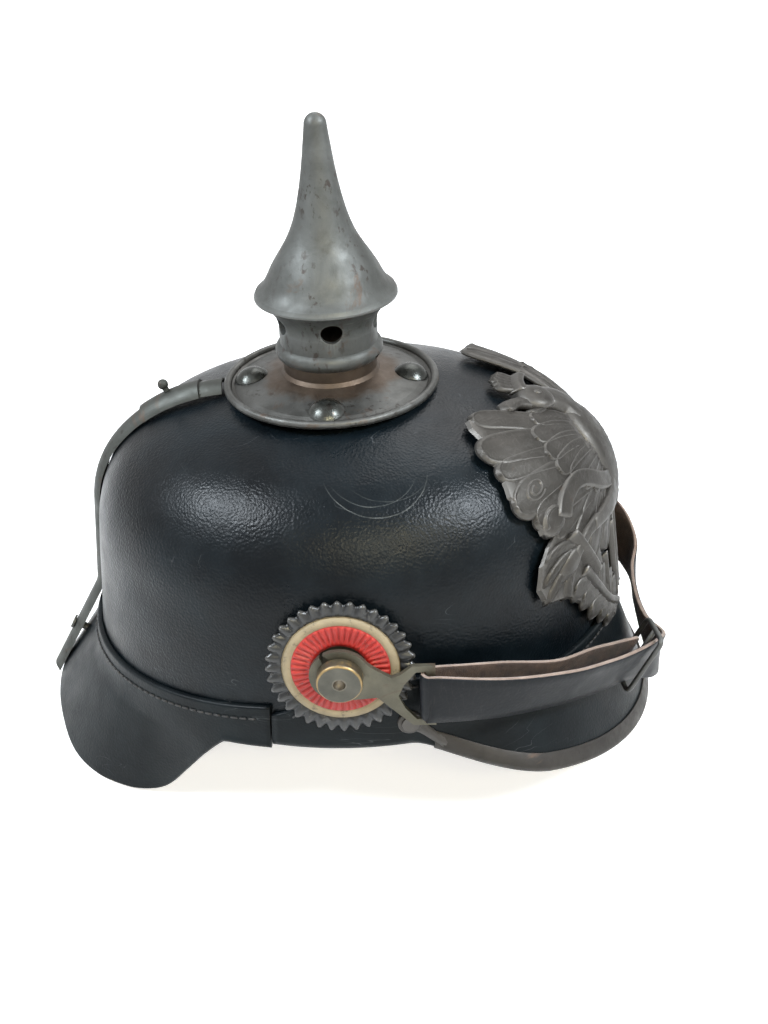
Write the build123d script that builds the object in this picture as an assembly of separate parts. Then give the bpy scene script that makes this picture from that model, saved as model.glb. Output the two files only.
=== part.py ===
from build123d import *
import math
import os

# Leather spiked helmet. Z is up and is the axis of the spike, the front looks along -Y, the wearer's
# right side is -X. Z = 0 is the surface that the visor and the neck guard rest on.

# leather skull
rim_half_length = 103.5
rim_half_width = 91.0
skull_centre_y = -4.3
rim_height = 41.0
rear_rim_height = 36.0
crown_dome_rise = 8.606
shoulder_height = 90.0
shoulder_radius = 46.0
wall_lean = 7.0
skull_leather = 2.6
layer_gap = 0.1
soft_gap = 0.3
overrun = 60.0
half_turn = 180.0
full_turn = 360.0

# front visor
visor_reach = 18.0
visor_end_angle = 77.0
visor_flange_end_angle = 104.0
section_step = 4
visor_full_angle = 52.0
visor_leather = 2.2
visor_flange_front = 11.0
visor_flange_side = 25.0
side_lip = 2.6
side_lip_drop = 1.2
trim_sheet = 0.6
trim_width = 6.5
trim_under = 4.0
tab_radius = 4.4
tab_rise = 8.0
tab_height = rim_height + tab_rise
tab_angle = 77.5
arm_angle = 68.0

# neck guard
guard_reach = 25.0
guard_leather = 2.2
guard_flange = 9.0
guard_end_angle = 75.6
guard_end_rise = 6.0
# angle from the rear centre, reach share, height share of the lower edge
guard_shares = (
    (0, 0.95, 0.17), (8, 0.945, 0.15), (18, 0.92, 0.10), (28, 0.90, 0.03), (36, 0.78, 0.005),
    (43, 0.55, 0.0), (49, 0.28, 0.08), (55, 0.16, 0.38), (61, 0.17, 0.69), (67, 0.15, 0.93),
    (80, 0.12, 1.0),
)

# rear spine and its vent slide
spine_width = 11.5
spine_height = 3.4
spine_sheet = 0.8
spine_gap = 0.35
spine_start_rise = 1.353
spine_disc_gap = 0.6
spine_start_angle = 6.0
spine_turn_angle = 46.0
spine_bend_height = 53.0
spine_foot_lean = 30.5
spine_bend_radius = 14.0
spine_foot_length = 47.0
spine_vent = 4.0
slide_sheet = 0.9
slide_clearance = 0.06
slide_arc = 22.0
slide_start = 12.0
slide_vent_shares = (0.35, 0.65)
knob_radius = 2.0
knob_height = 3.0
knob_neck_share = 0.6
spine_screw_radius = 1.5
spine_screw_head = 2.8

# base plate, its studs and collar
disc_seat = 0.8
disc_radius = 40.0
disc_roll = 1.5
disc_sheet = 1.0
disc_groove = 2.2
cone_rise = 4.6
cone_foot = 0.6
cone_slope_share = 0.72
sleeve_radius = 15.4
sleeve_sheet = 1.2
collar_wall = 1.8
collar_top = 10.0
flare_width = 4.3
flare_rise = 2.4
sleeve_rise = 9.5
collar_radius = sleeve_radius + collar_wall
flare_radius = collar_radius + flare_width
sleeve_top = collar_top + sleeve_rise
bayonet_clearance = 0.06
stud_count = 4
stud_inset = 10.1
stud_circle = disc_radius - stud_inset
stud_radius = 6.4
stud_rise = 3.4
stud_leg = 2.4
stud_leg_sheet = 0.9
stud_leg_spread = 9.0
stud_hole = 3.0
stud_washer_gap = 0.8
washer_sheet = 0.8
stud_washer_radius = 6.0
nib_radius = 1.3
nib_reach = 1.9
nib_rise = 4.4
nib_clearance = 0.12
nib_height = collar_top + nib_rise
nib_entry_angle = 245.0
twist_travel = 30.0
notch_share = 0.82

# spike: radius and height above the disc
tip_height = 96.4
spike_sheet = 1.1
neck_wall = 2.5
skirt_reach = 7.9
skirt_rise = 9.0
skirt_edge = 0.7
bead_bulge = 1.8
bead_rise = 3.4
bead_roll = 2.6
vent_radius = 3.9
vent_rise = 5.5
vent_count = 5
vent_first_angle = 188.0
tip_radius = 3.9
cone_wall = 1.8
neck_radius = sleeve_radius + neck_wall
skirt_radius = neck_radius + skirt_reach
bead_radius = neck_radius + bead_bulge
bead_height = collar_top + bead_rise
vent_height = sleeve_top + vent_rise
skirt_height = vent_height + skirt_rise
# radius share of the skirt, height share between the skirt's edge and the tip
cone_shares = (
    (0.975, 0.022), (0.84, 0.081), (0.76, 0.144), (0.49, 0.325), (0.295, 0.561), (0.24, 0.676),
    (0.18, 0.846),
)
# underside of the skirt: share of its reach beyond the neck, share of its rise above the vents
under_shares = ((0.55, 0.66), (0.16, 0.24), (0.0, -0.40))

# front plate: an eagle outline in the plate's own slanted plane
plate_half_width = 66.0
plate_rise = 106.0
plate_foot_rise = 6.6
plate_slant = 35.0
plate_sheet = 1.2
plate_standoff = 2.8
plate_loop_spacing = 66.0
plate_loop_share = 0.55
loop_wire = 1.5
loop_width = 9.0
loop_depth = 9.0
wedge_length = 20.0
wedge_thickness = 2.6

# cockades and side posts
post_y = -4.4
post_rise = 32.5
post_height = rim_height + post_rise
cockade_radius = 25.5
cockade_sheet = 1.0
cockade_lean = 5.5
cockade_flutes = 36
flute_depth = 1.3
cockade_stand = 2.51
ring_radius = 19.6
ring_rise = 0.7
red_radius = 16.6
red_rise = 0.6
hub_radius = 10.6
hub_drop = 0.5
hub_play = 0.5
post_stem = 4.9
post_head_radius = 7.8
post_head = 4.2
fitting_stand = 3.9
post_thread = 2.5
post_nut_radius = 6.0
post_nut = 3.0
post_washer_radius = 8.0
post_washer_gap = 1.19

# strap fittings
fitting_sheet = 1.6
fitting_ring = 10.4
fitting_play = 0.05
fitting_head_gap = 0.25
fitting_reach = 30.5
fitting_span = 23.0
fitting_prong = 3.6
fitting_notch_angle = 125.0

# chin strap
strap_width = 19.0
strap_leather = 1.9
strap_fold_gap = 0.5
outer_stations = 22
inner_stations = 12
fold_stations = 8

# buckles
buckle_height = 27.0
buckle_depth = 16.0
buckle_wire = 2.0
buckle_turn = 35.0

# liner
liner_leather = 1.3
liner_gap = 9.0
liner_band_height = 32.0
liner_crown_gap = 21.0
tongue_count = 9
tongue_slit = 16.0
lace_hole = 2.0
lace_circle = 54.0
search_steps = 50

width_share = rim_half_width / rim_half_length
lean = math.radians(wall_lean)


def rotated(radius, degrees):
    angle = math.radians(degrees)
    return radius * math.sin(angle), radius * math.cos(angle)


def wall_radius(height):
    """half length of the skull's outside at a height of its wall"""
    return rim_half_length - (height - rim_height) * math.tan(lean)


shoulder_start = wall_radius(shoulder_height)
shoulder_x = shoulder_start - shoulder_radius * math.cos(lean)
shoulder_z = shoulder_height - shoulder_radius * math.sin(lean)
crown_height = shoulder_z + shoulder_radius + crown_dome_rise
crown_gap = crown_height - shoulder_z
crown_square = shoulder_x ** 2 + crown_gap ** 2 - shoulder_radius ** 2
crown_radius = crown_square / (2 * (crown_gap - shoulder_radius))
crown_z = crown_height - crown_radius
crown_angle = math.degrees(math.atan2(shoulder_x, shoulder_z - crown_z))
disc_height = crown_height - disc_seat
liner_top = crown_height - liner_crown_gap
post_wall = wall_radius(post_height) * width_share
cockade_plane = post_wall + cockade_stand
fitting_plane = cockade_plane + fitting_stand
post_washer_plane = post_wall - skull_leather - post_washer_gap
plate_foot = rim_height + plate_foot_rise
plate_foot_y = skull_centre_y - wall_radius(plate_foot) - plate_standoff
plate_tilt = math.radians(plate_slant)
plate_low = plate_foot * math.cos(plate_tilt) + plate_foot_y * math.sin(plate_tilt)


def round_height(radius, offset=0.0):
    """height of the round dome's outside at a radius, before the sides are drawn in"""
    tangent, edge = rotated(crown_radius + offset, crown_angle)
    if radius <= tangent:
        return crown_z + math.sqrt((crown_radius + offset) ** 2 - radius ** 2)
    reach = min(radius - shoulder_x, shoulder_radius + offset)
    return shoulder_z + math.sqrt(max((shoulder_radius + offset) ** 2 - reach ** 2, 0))


def skull_height(x, y, offset=0.0):
    return round_height(math.hypot(x / width_share, y - skull_centre_y), offset)


spine_start_y = disc_radius + spine_disc_gap


def top_radius():
    """radius of the spine's bow that starts a named rise above the skull and meets the shoulder's arc"""
    inner = shoulder_radius + spine_gap
    turn_y, turn_z = rotated(1, spine_turn_angle)
    first_y, first_z = rotated(1, spine_start_angle)
    slope = math.tan(math.radians(spine_start_angle))
    start = skull_height(0, spine_start_y) + spine_start_rise - shoulder_z
    start -= inner * turn_z + (shoulder_x + skull_centre_y + inner * turn_y - spine_start_y) * slope
    return start / (first_z - turn_z + (first_y - turn_y) * slope)


spine_top_radius = top_radius()


def draw_in(solid):
    """turns a round form about the skull's centre into the skull's oval"""
    return Pos(0, skull_centre_y, 0) * scale(solid, by=(width_share, 1, 1))


def round_dome(offset):
    """round dome about Z whose surface lies outside the round skull's by the offset"""
    low = -overrun
    out_x = offset * math.cos(lean)
    out_z = offset * math.sin(lean)
    foot = (wall_radius(low) + offset / math.cos(lean), low)
    shoulder = (shoulder_start + out_x, shoulder_height + out_z)
    middle_x, middle_z = rotated(shoulder_radius + offset, (90 - wall_lean + crown_angle) / 2)
    tangent_x, tangent_z = rotated(crown_radius + offset, crown_angle)
    crown_x, crown_mid = rotated(crown_radius + offset, crown_angle / 2)
    outline = Polyline((0, low), foot, shoulder)
    middle = (shoulder_x + middle_x, shoulder_z + middle_z)
    tangent = (tangent_x, crown_z + tangent_z)
    top = (0, crown_height + offset)
    outline += ThreePointArc(shoulder, middle, tangent)
    outline += ThreePointArc(tangent, (crown_x, crown_z + crown_mid), top) + Line(top, (0, low))
    return revolve(Plane.XZ * make_face(outline), Axis.Z)


def dome(offset):
    return draw_in(round_dome(offset))


def in_round(x, y, z):
    """place in the round form that draws in to a place on the helmet"""
    return Pos(x / width_share, y - skull_centre_y, z)


def rim_at(y):
    """height of the skull's lower edge at a place along the helmet"""
    share = max(y - post_y, 0) / (rim_half_length + skull_centre_y - post_y)
    return rim_height - (rim_height - rear_rim_height) * min(share, 1)


def below_rim():
    """everything under the skull's lower edge"""
    rear = rim_half_length + skull_centre_y
    rear_drop = (rim_height - rear_rim_height) * (rear + overrun - post_y) / (rear - post_y)
    points = [(-rim_half_length - overrun, rim_height), (post_y, rim_height)]
    points += [(rear + overrun, rim_height - rear_drop)]
    low = -2 * overrun
    points += [(rear + overrun, low), (-rim_half_length - overrun, low)]
    face = make_face(Polyline(*points, close=True))
    return extrude(Plane.YZ * face, rim_half_length + overrun, both=True)


def radial_face(points, degrees):
    """face from (radius, height) points in the upright plane at an angle from the front"""
    side, front = rotated(1, degrees)
    return make_face(Polyline(*[(r * side, -r * front, z) for r, z in points], close=True))


def skull():
    shell = round_dome(0) - round_dome(-skull_leather) - Pos(0, -skull_centre_y, 0) * below_rim()
    for side in (-1, 1):
        place = in_round(side * rim_half_width, post_y, post_height)
        shell -= place * Rot(0, 90, 0) * Cylinder(post_thread + 2 * layer_gap, overrun / 2)
    for x, y in stud_places():
        shell -= in_round(x, y, crown_height) * Cylinder(stud_hole, overrun / 2)
    shell -= in_round(0, 0, crown_height) * Cylinder(sleeve_radius, overrun / 2)
    shell = draw_in(shell)
    for plane in plate_loop_planes():
        shell -= plane * Box(loop_width + 2 * layer_gap, loop_wire + 2 * layer_gap, loop_depth)
    return shell


def smooth(low, high, value):
    share = min(max((value - low) / (high - low), 0), 1)
    return share * share * (3 - 2 * share)


def visor_edge(degrees):
    """radius and height of the visor's lower edge in the round form, at an angle from the front"""
    angle = abs(degrees)
    end = math.cos(math.radians(visor_end_angle))
    drop = max(math.cos(math.radians(angle)) - end, 0) / (1 - end)
    share = 1 - smooth(visor_full_angle, visor_end_angle, angle)
    height = rim_height * (1 - drop) - side_lip_drop * (1 - drop)
    return rim_half_length + side_lip + (visor_reach - side_lip) * share, height


def visor_flange(degrees):
    """height of the flange's upper edge"""
    angle = abs(degrees)
    raised = smooth(visor_full_angle, visor_end_angle, angle)
    middle = (visor_end_angle + visor_flange_end_angle) / 2
    closing = smooth(middle, visor_flange_end_angle, angle)
    rise = visor_flange_front + (visor_flange_side - visor_flange_front) * raised
    return rim_height + rise - closing * (visor_flange_side - visor_flange_front) * raised


def visor_points(degrees):
    """flange top inside, bend inside, edge inside, edge outside, bend outside, flange top outside"""
    edge_r, edge_z = visor_edge(degrees)
    top = visor_flange(degrees)
    inner = layer_gap
    outer = layer_gap + visor_leather
    bend = rim_height
    run_r = edge_r - wall_radius(bend)
    run_z = bend - edge_z
    run = math.hypot(run_r, run_z)
    across_r = run_z / run * visor_leather
    across_z = run_r / run * visor_leather
    points = [(wall_radius(top) + inner, top), (wall_radius(bend) + inner, bend)]
    points += [(edge_r - across_r, edge_z - across_z + side_lip_drop), (edge_r, edge_z + side_lip_drop)]
    points += [(wall_radius(bend) + outer, bend + across_z), (wall_radius(top) + visor_leather, top)]
    return points


def visor_section(degrees):
    return radial_face(visor_points(degrees), degrees)


def visor_outside(degrees, height):
    """radius of the visor's upper side at a height"""
    edge, bend, top = visor_points(degrees)[3:]
    for (r0, z0), (r1, z1) in ((edge, bend), (bend, top)):
        if height <= z1:
            share = max((height - z0) / (z1 - z0), 0)
            return r0 + (r1 - r0) * share
    return top[0]


def spread(limit):
    """angles from minus to plus a limit on the common grid of sections"""
    count = round(limit / section_step)
    return [section_step * i for i in range(-count, count + 1)]


def visor():
    return draw_in(loft([visor_section(a) for a in spread(visor_flange_end_angle)], ruled=True))


def toward(start, end):
    run = math.dist(start, end)
    return (end[0] - start[0]) / run, (end[1] - start[1]) / run


def trim_section(degrees):
    """channel round the visor's edge, a gap away from the leather"""
    top, bend_in, edge_in, edge_out, bend_out, top_out = visor_points(degrees)
    upper = toward(bend_out, edge_out)
    lower = toward(bend_in, edge_in)

    def above(back, gap):
        over = (-upper[1], upper[0])
        return edge_out[0] - upper[0] * back + over[0] * gap, edge_out[1] - upper[1] * back + over[1] * gap

    def below(back, gap):
        under = (lower[1], -lower[0])
        return edge_in[0] - lower[0] * back + under[0] * gap, edge_in[1] - lower[1] * back + under[1] * gap

    near = layer_gap
    far = layer_gap + trim_sheet
    points = [above(trim_width, far), above(-far, far), below(-far, far), below(trim_under, far)]
    points += [below(trim_under, near), below(-near, near), above(-near, near), above(trim_width, near)]
    return radial_face(points, degrees)


def tab_frame(side):
    """place on the flange's outside where a trim tab is riveted, looking outward"""
    x, y = rotated(wall_radius(tab_height) + 4 * layer_gap + visor_leather, tab_angle)
    turn = math.degrees(math.atan2(x * rim_half_length, y * rim_half_width))
    place = Pos(side * x * width_share, skull_centre_y - y, tab_height)
    return place * Rot(0, 0, side * turn) * Rot(90 - wall_lean, 0, 0)


def trim():
    channel = draw_in(loft([trim_section(a) for a in spread(arm_angle)], ruled=True))
    start = visor_edge(arm_angle - section_step)[1] + side_lip_drop
    end = tab_height - trim_width / 2
    steps = round((tab_angle - arm_angle) / section_step) + 1
    for side in (-1, 1):
        sections = []
        for step in range(steps + 1):
            angle = arm_angle - section_step + section_step * step
            low = start + trim_sheet + (end - start) * step / steps
            high = low + trim_width - trim_sheet
            lift = 2 * layer_gap
            r0 = visor_outside(angle, low) + lift
            r1 = visor_outside(angle, high) + lift
            points = [(r0, low), (r0 + trim_sheet, low), (r1 + trim_sheet, high), (r1, high)]
            sections.append(radial_face(points, side * angle))
        channel += draw_in(loft(sections, ruled=True))
        channel += tab_frame(side) * Pos(0, 0, trim_sheet) * Cylinder(tab_radius, 2 * trim_sheet)
        channel -= tab_frame(side) * Cylinder(spine_screw_radius, overrun / 4)
    return channel


def trim_rivets():
    rivets = []
    for side in (-1, 1):
        frame = tab_frame(side)
        head = frame * Pos(0, 0, 5 * trim_sheet / 2) * Cylinder(2 * spine_screw_radius, trim_sheet)
        shank = frame * Pos(0, 0, trim_sheet) * Cylinder(spine_screw_radius - layer_gap / 2, 2 * trim_sheet)
        rivets.append(head + shank)
    return rivets


def guard_edge(degrees):
    """reach and height of the neck guard's lower edge between the rows of shares"""
    angle = abs(degrees)
    rows = (mirrored_row(guard_shares[1]),) + guard_shares + (guard_shares[-1],)
    i = max(k for k in range(1, len(rows) - 2) if rows[k][0] <= angle)
    share = (angle - rows[i][0]) / (rows[i + 1][0] - rows[i][0])
    reach = through(*[row[1] for row in rows[i - 1:i + 3]], share)
    height = through(*[row[2] for row in rows[i - 1:i + 3]], share)
    return reach * guard_reach, max(height, 0) * rim_height


def mirrored_row(row):
    return (-row[0],) + row[1:]


def through(before, first, second, after, share):
    """smooth value between the second and third of four even values"""
    near = (second - before) / 2
    far = (after - first) / 2
    cube = share ** 3
    square = share ** 2
    blend = 3 * square - 2 * cube
    return first * (1 - blend) + second * blend + near * (cube - 2 * square + share) + far * (cube - square)


def guard_bend(degrees):
    x, y = rotated(rim_half_length, degrees)
    return rim_at(y + skull_centre_y)


def guard_section(degrees):
    reach, low = guard_edge(degrees)
    bend = guard_bend(degrees)
    top = bend + guard_flange + guard_end_rise * (abs(degrees) / guard_end_angle) ** 2
    inner = layer_gap
    low = min(low, bend - 2 * side_lip_drop)
    bend_r = wall_radius(bend) + inner
    edge_r = rim_half_length + reach
    run_r = edge_r - bend_r
    run_z = bend - low
    run = math.hypot(run_r, run_z)
    across_r = run_z / run * guard_leather
    across_z = run_r / run * guard_leather
    points = [(wall_radius(top) + inner, top), (bend_r, bend)]
    points += [(edge_r - across_r, low), (edge_r, low + across_z)]
    points += [(bend_r + guard_leather, bend + across_z), (wall_radius(top) + inner + guard_leather, top)]
    return radial_face(points, 180 - degrees)


def guard():
    angles = spread(guard_end_angle - section_step / 2)
    angles = [-guard_end_angle] + angles + [guard_end_angle]
    solid = draw_in(loft([guard_section(a) for a in angles], ruled=True))
    return solid - foot_frame(2 * spine_width) * Cylinder(spine_screw_radius + layer_gap, overrun / 2)


def round_radius(height):
    """radius of the round dome's outside at a height"""
    if height <= shoulder_height:
        return wall_radius(height)
    if height <= crown_z + rotated(crown_radius, crown_angle)[1]:
        return shoulder_x + math.sqrt(shoulder_radius ** 2 - (height - shoulder_z) ** 2)
    return math.sqrt(max(crown_radius ** 2 - (height - crown_z) ** 2, 0))


def spine_points(lift):
    """points and arc middles of the spine's inner line in the YZ plane, raised by a lift"""
    inner = shoulder_radius + spine_gap
    centre_y = shoulder_x + skull_centre_y
    turn_y, turn_z = rotated(inner, spine_turn_angle)
    bow_y, bow_z = rotated(spine_top_radius, spine_turn_angle)
    bow_centre = (centre_y + turn_y - bow_y, shoulder_z + turn_z - bow_z)
    return bow_centre, (centre_y, shoulder_z), inner + lift, spine_top_radius + lift


def about(centre, radius, degrees):
    y, z = rotated(radius, degrees)
    return centre[0] + y, centre[1] + z


def spine_line():
    bow_centre, arc_centre, inner, bow = spine_points(0)
    first = about(bow_centre, bow, spine_start_angle)
    run = first[0] - spine_start_y
    start = (spine_start_y, first[1] + run * math.tan(math.radians(spine_start_angle)))
    turn = about(arc_centre, inner, spine_turn_angle)
    wall = about(arc_centre, inner, 90 - wall_lean)
    drop = wall[1] - spine_bend_height
    bend = (wall[0] + drop * math.tan(lean), spine_bend_height)
    pieces = [Line(start, first)]
    pieces.append(ThreePointArc(first, about(bow_centre, bow, (spine_start_angle + spine_turn_angle) / 2), turn))
    pieces.append(ThreePointArc(turn, about(arc_centre, inner, (spine_turn_angle + 90 - wall_lean) / 2), wall))
    pieces.append(Line(wall, bend))
    down = (bend[0] - wall[0], bend[1] - wall[1])
    foot = JernArc(bend, down, spine_bend_radius, spine_foot_lean - wall_lean)
    foot_y, foot_z = rotated(spine_foot_length, 180 - spine_foot_lean)
    end = foot @ 1
    pieces += [foot, Line((end.X, end.Y), (end.X + foot_y, end.Y + foot_z))]
    return pieces, (end.X, end.Y)


def bow_face(width, height, sheet, low=0.0):
    """thin arched section, flat side on the X axis"""
    half = width / 2
    outline = ThreePointArc((-half, low), (0, height), (half, low))
    outline += Line((half, low), (half - sheet, low))
    outline += ThreePointArc((half - sheet, low), (0, height - sheet), (sheet - half, low))
    outline += Line((sheet - half, low), (-half, low))
    return make_face(outline)


def at_yz(y, z, degrees):
    """frame on the mid plane, its z axis turned from +Z towards +Y"""
    return Pos(0, y, z) * Rot(-degrees, 0, 0)


def foot_frame(back):
    """frame on the spine's foot, a distance up from its end, z axis outward"""
    end = spine_line()[1]
    y, z = rotated(spine_foot_length - back, 180 - spine_foot_lean)
    return at_yz(end[0] + y, end[1] + z, 90 - spine_foot_lean)


def spine():
    wire = Wire([(Plane.YZ * piece).edge() for piece in spine_line()[0]])
    start = wire @ 0
    along = wire % 0
    plane = Plane(origin=start, x_dir=(-1, 0, 0), z_dir=along)
    section = plane * bow_face(spine_width, spine_height, spine_sheet)
    body = sweep(section, wire)
    half = spine_width / 2
    tongue = ThreePointArc((-half, 0), (0, -spine_width / 3), (half, 0)) + Line((half, 0), (-half, 0))
    body += foot_frame(0) * extrude(make_face(tongue), spine_sheet)
    bow_centre = spine_points(0)[0]
    for share in slide_vent_shares:
        turn = slide_start + slide_arc * share
        y, z = about(bow_centre, spine_top_radius + spine_height, turn)
        body -= at_yz(y, z, turn) * Box(spine_vent, spine_vent, spine_height)
    body -= foot_frame(2 * spine_width) * Cylinder(spine_screw_radius + layer_gap, 4 * spine_height)
    return body


def spine_screw():
    frame = foot_frame(2 * spine_width)
    top = spine_height + layer_gap
    head = frame * Pos(0, 0, top + spine_sheet / 2) * Cylinder(spine_screw_head, spine_sheet)
    low = -3 * guard_leather - spine_sheet
    shank = frame * Pos(0, 0, (top + low) / 2) * Cylinder(spine_screw_radius, top - low)
    nut = frame * Pos(0, 0, low + spine_sheet) * Cylinder(spine_screw_head, 2 * spine_sheet)
    return head + shank + nut


def vent_slide():
    bow_centre = spine_points(0)[0]
    width = spine_width + 2 * (slide_clearance + slide_sheet)
    height = spine_height + slide_clearance + slide_sheet
    section = bow_face(width, height, slide_sheet, layer_gap)
    start = about(bow_centre, spine_top_radius, slide_start)
    placed = Plane(origin=(0, *start), x_dir=(-1, 0, 0), z_dir=(0, *rotated(1, slide_start + 90))) * section
    axis = Axis((0, *bow_centre), (-1, 0, 0))
    return revolve(placed, axis, slide_arc)


def knob_frame():
    bow_centre = spine_points(0)[0]
    turn = slide_start + slide_arc / 2
    lift = spine_top_radius + spine_height + slide_clearance + slide_sheet
    y, z = about(bow_centre, lift, turn)
    return at_yz(y, z, turn)


def vent_knob():
    stem = Pos(0, 0, layer_gap / 2 + knob_height / 2) * Cylinder(knob_radius * knob_neck_share, knob_height)
    cap = Pos(0, 0, knob_height) * Sphere(knob_radius)
    return knob_frame() * (stem + cap)


def disc_profile():
    """points of the base plate's upper side, radius and height above the disc's rim plane"""
    groove = disc_radius - 2 * disc_roll - disc_groove / 2
    inner = groove - disc_groove
    slope = (cone_rise - disc_sheet) / (inner - flare_radius)
    return groove, inner, slope


def cone_height(radius):
    groove, inner, slope = disc_profile()
    return cone_foot + (inner - radius) * slope * cone_slope_share


def base_plate():
    groove, inner, slope = disc_profile()
    roll_r = disc_radius - disc_roll
    half = disc_sheet / 2
    flare = cone_height(flare_radius)
    upper = [(roll_r, half), (groove, -half), (inner, cone_height(inner)), (flare_radius, flare)]
    upper += [(collar_radius + disc_sheet, flare + disc_sheet), (collar_radius, flare + flare_rise)]
    upper += [(collar_radius, collar_top), (sleeve_radius, collar_top), (sleeve_radius, sleeve_top)]
    bore = sleeve_radius - sleeve_sheet
    lower = [(bore, sleeve_top), (bore, flare), (flare_radius - disc_sheet, flare - disc_sheet)]
    lower += [(inner, cone_height(inner) - disc_sheet), (groove, -half - disc_sheet), (roll_r, -half)]
    face = make_face(Polyline(*upper, *lower, close=True))
    roll = Pos(roll_r, 0) * Circle(disc_roll)
    body = Pos(0, 0, disc_height) * (revolve(Plane.XZ * face, Axis.Z) + revolve(Plane.XZ * roll, Axis.Z))
    for frame in stud_frames():
        body -= frame * Box(stud_leg + 2 * layer_gap, 2 * stud_leg_sheet + 2 * layer_gap, overrun / 3)
    for frame in nib_frames():
        body -= frame * Cylinder(nib_radius + layer_gap / 2, 2 * sleeve_sheet + layer_gap)
    return body


def stud_turns():
    return [full_turn * i / stud_count for i in range(stud_count)]


def stud_frames():
    groove, inner, slope = disc_profile()
    tilt = math.degrees(math.atan(slope * cone_slope_share))
    seat = disc_height + cone_height(stud_circle) + layer_gap
    return [Rot(0, 0, turn) * Pos(stud_circle, 0, seat) * Rot(0, tilt, 0) for turn in stud_turns()]


def stud_places():
    turns = [math.radians(turn) for turn in stud_turns()]
    return [(stud_circle * math.cos(turn), stud_circle * math.sin(turn)) for turn in turns]


def stud_depth(frame):
    """distance from a stud's seat to the skull's inner side"""
    place = frame.position
    return place.Z - skull_height(place.X, place.Y) + skull_leather + stud_washer_gap


def cap(radius, rise):
    """part of a ball standing on a disc"""
    ball = (radius ** 2 + rise ** 2) / (2 * rise)
    solid = Pos(0, 0, rise - ball) * Sphere(ball)
    return solid & Pos(0, 0, rise) * Cylinder(2 * radius, 2 * rise)


def base_studs():
    studs = []
    for frame in stud_frames():
        depth = stud_depth(frame) + washer_sheet + layer_gap
        head = cap(stud_radius, stud_rise)
        leg = Pos(0, 0, -depth / 2) * Box(stud_leg, 2 * stud_leg_sheet, depth)
        bent = Pos(0, 0, -depth - stud_leg_sheet / 2) * Box(stud_leg, 2 * stud_leg_spread, stud_leg_sheet)
        studs.append(frame * (head + leg + bent))
    return studs


def stud_washers():
    washers = []
    for frame in stud_frames():
        washer = Cylinder(stud_washer_radius, washer_sheet)
        washer -= Box(stud_leg + 2 * layer_gap, 2 * stud_leg_sheet + 2 * layer_gap, overrun)
        washers.append(frame * Pos(0, 0, -stud_depth(frame) - washer_sheet / 2) * washer)
    return washers


def nib_frames():
    """frames of the two pins, z axis pointing outward from the sleeve"""
    height = disc_height + nib_height
    return [Rot(0, 0, nib_entry_angle + twist_travel + half) * Pos(sleeve_radius, 0, height) * Rot(0, 90, 0)
            for half in (0, half_turn)]


def collar_nibs():
    length = nib_reach + sleeve_sheet
    nib = Pos(0, 0, (nib_reach - sleeve_sheet) / 2) * Cylinder(nib_radius, length)
    return [frame * nib for frame in nib_frames()]


def spike():
    bore = sleeve_radius + bayonet_clearance
    seat = collar_top + layer_gap
    span = tip_height - skirt_height
    outer = [(r * skirt_radius, skirt_height + z * span) for r, z in cone_shares]
    ball_height = tip_height - tip_radius
    top = (0, ball_height)
    edge = (skirt_radius, skirt_height)
    lip = (skirt_radius, skirt_height - skirt_edge)
    under = [(neck_radius + r * skirt_reach, vent_height + z * skirt_rise) for r, z in under_shares]
    bead_top = (neck_radius, bead_height + bead_roll)
    bead_low = (neck_radius, seat)
    outline = Line(edge, outer[0]) + Spline(*outer)
    outline += Line(outer[-1], (tip_radius, ball_height)) + Line((tip_radius, ball_height), top)
    outline += Line(edge, lip) + Spline(lip, *under) + Line(under[-1], bead_top)
    outline += ThreePointArc(bead_top, (bead_radius, bead_height), bead_low)
    outline += Line(bead_low, (0, seat)) + Line((0, seat), top)
    body = revolve(Plane.XZ * make_face(outline), Axis.Z) + Pos(0, 0, ball_height) * Sphere(tip_radius)
    bore_height = sleeve_top + spike_sheet - seat + layer_gap
    body -= Pos(0, 0, (seat + sleeve_top + spike_sheet) / 2) * Cylinder(bore, bore_height)
    hollow = [(r - cone_wall, z) for r, z in outer[1:-1]]
    ceiling = (0, hollow[-1][1])
    floor = sleeve_top + spike_sheet
    throat = (neck_radius - spike_sheet / 2, vent_height)
    cavity = Spline(*hollow) + Line(hollow[-1], ceiling) + Line(ceiling, (0, floor))
    cavity += Line((0, floor), (bore, floor)) + Line((bore, floor), throat) + Line(throat, hollow[0])
    body -= revolve(Plane.XZ * make_face(cavity), Axis.Z)
    for turn in range(vent_count):
        angle = vent_first_angle + turn * full_turn / vent_count
        place = Rot(0, 0, angle) * Pos(neck_radius, 0, vent_height) * Rot(0, 90, 0)
        body -= place * Cylinder(vent_radius, neck_radius)
    body = Pos(0, 0, disc_height) * body
    for cut in bayonet_cuts():
        body -= cut
    return body


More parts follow.
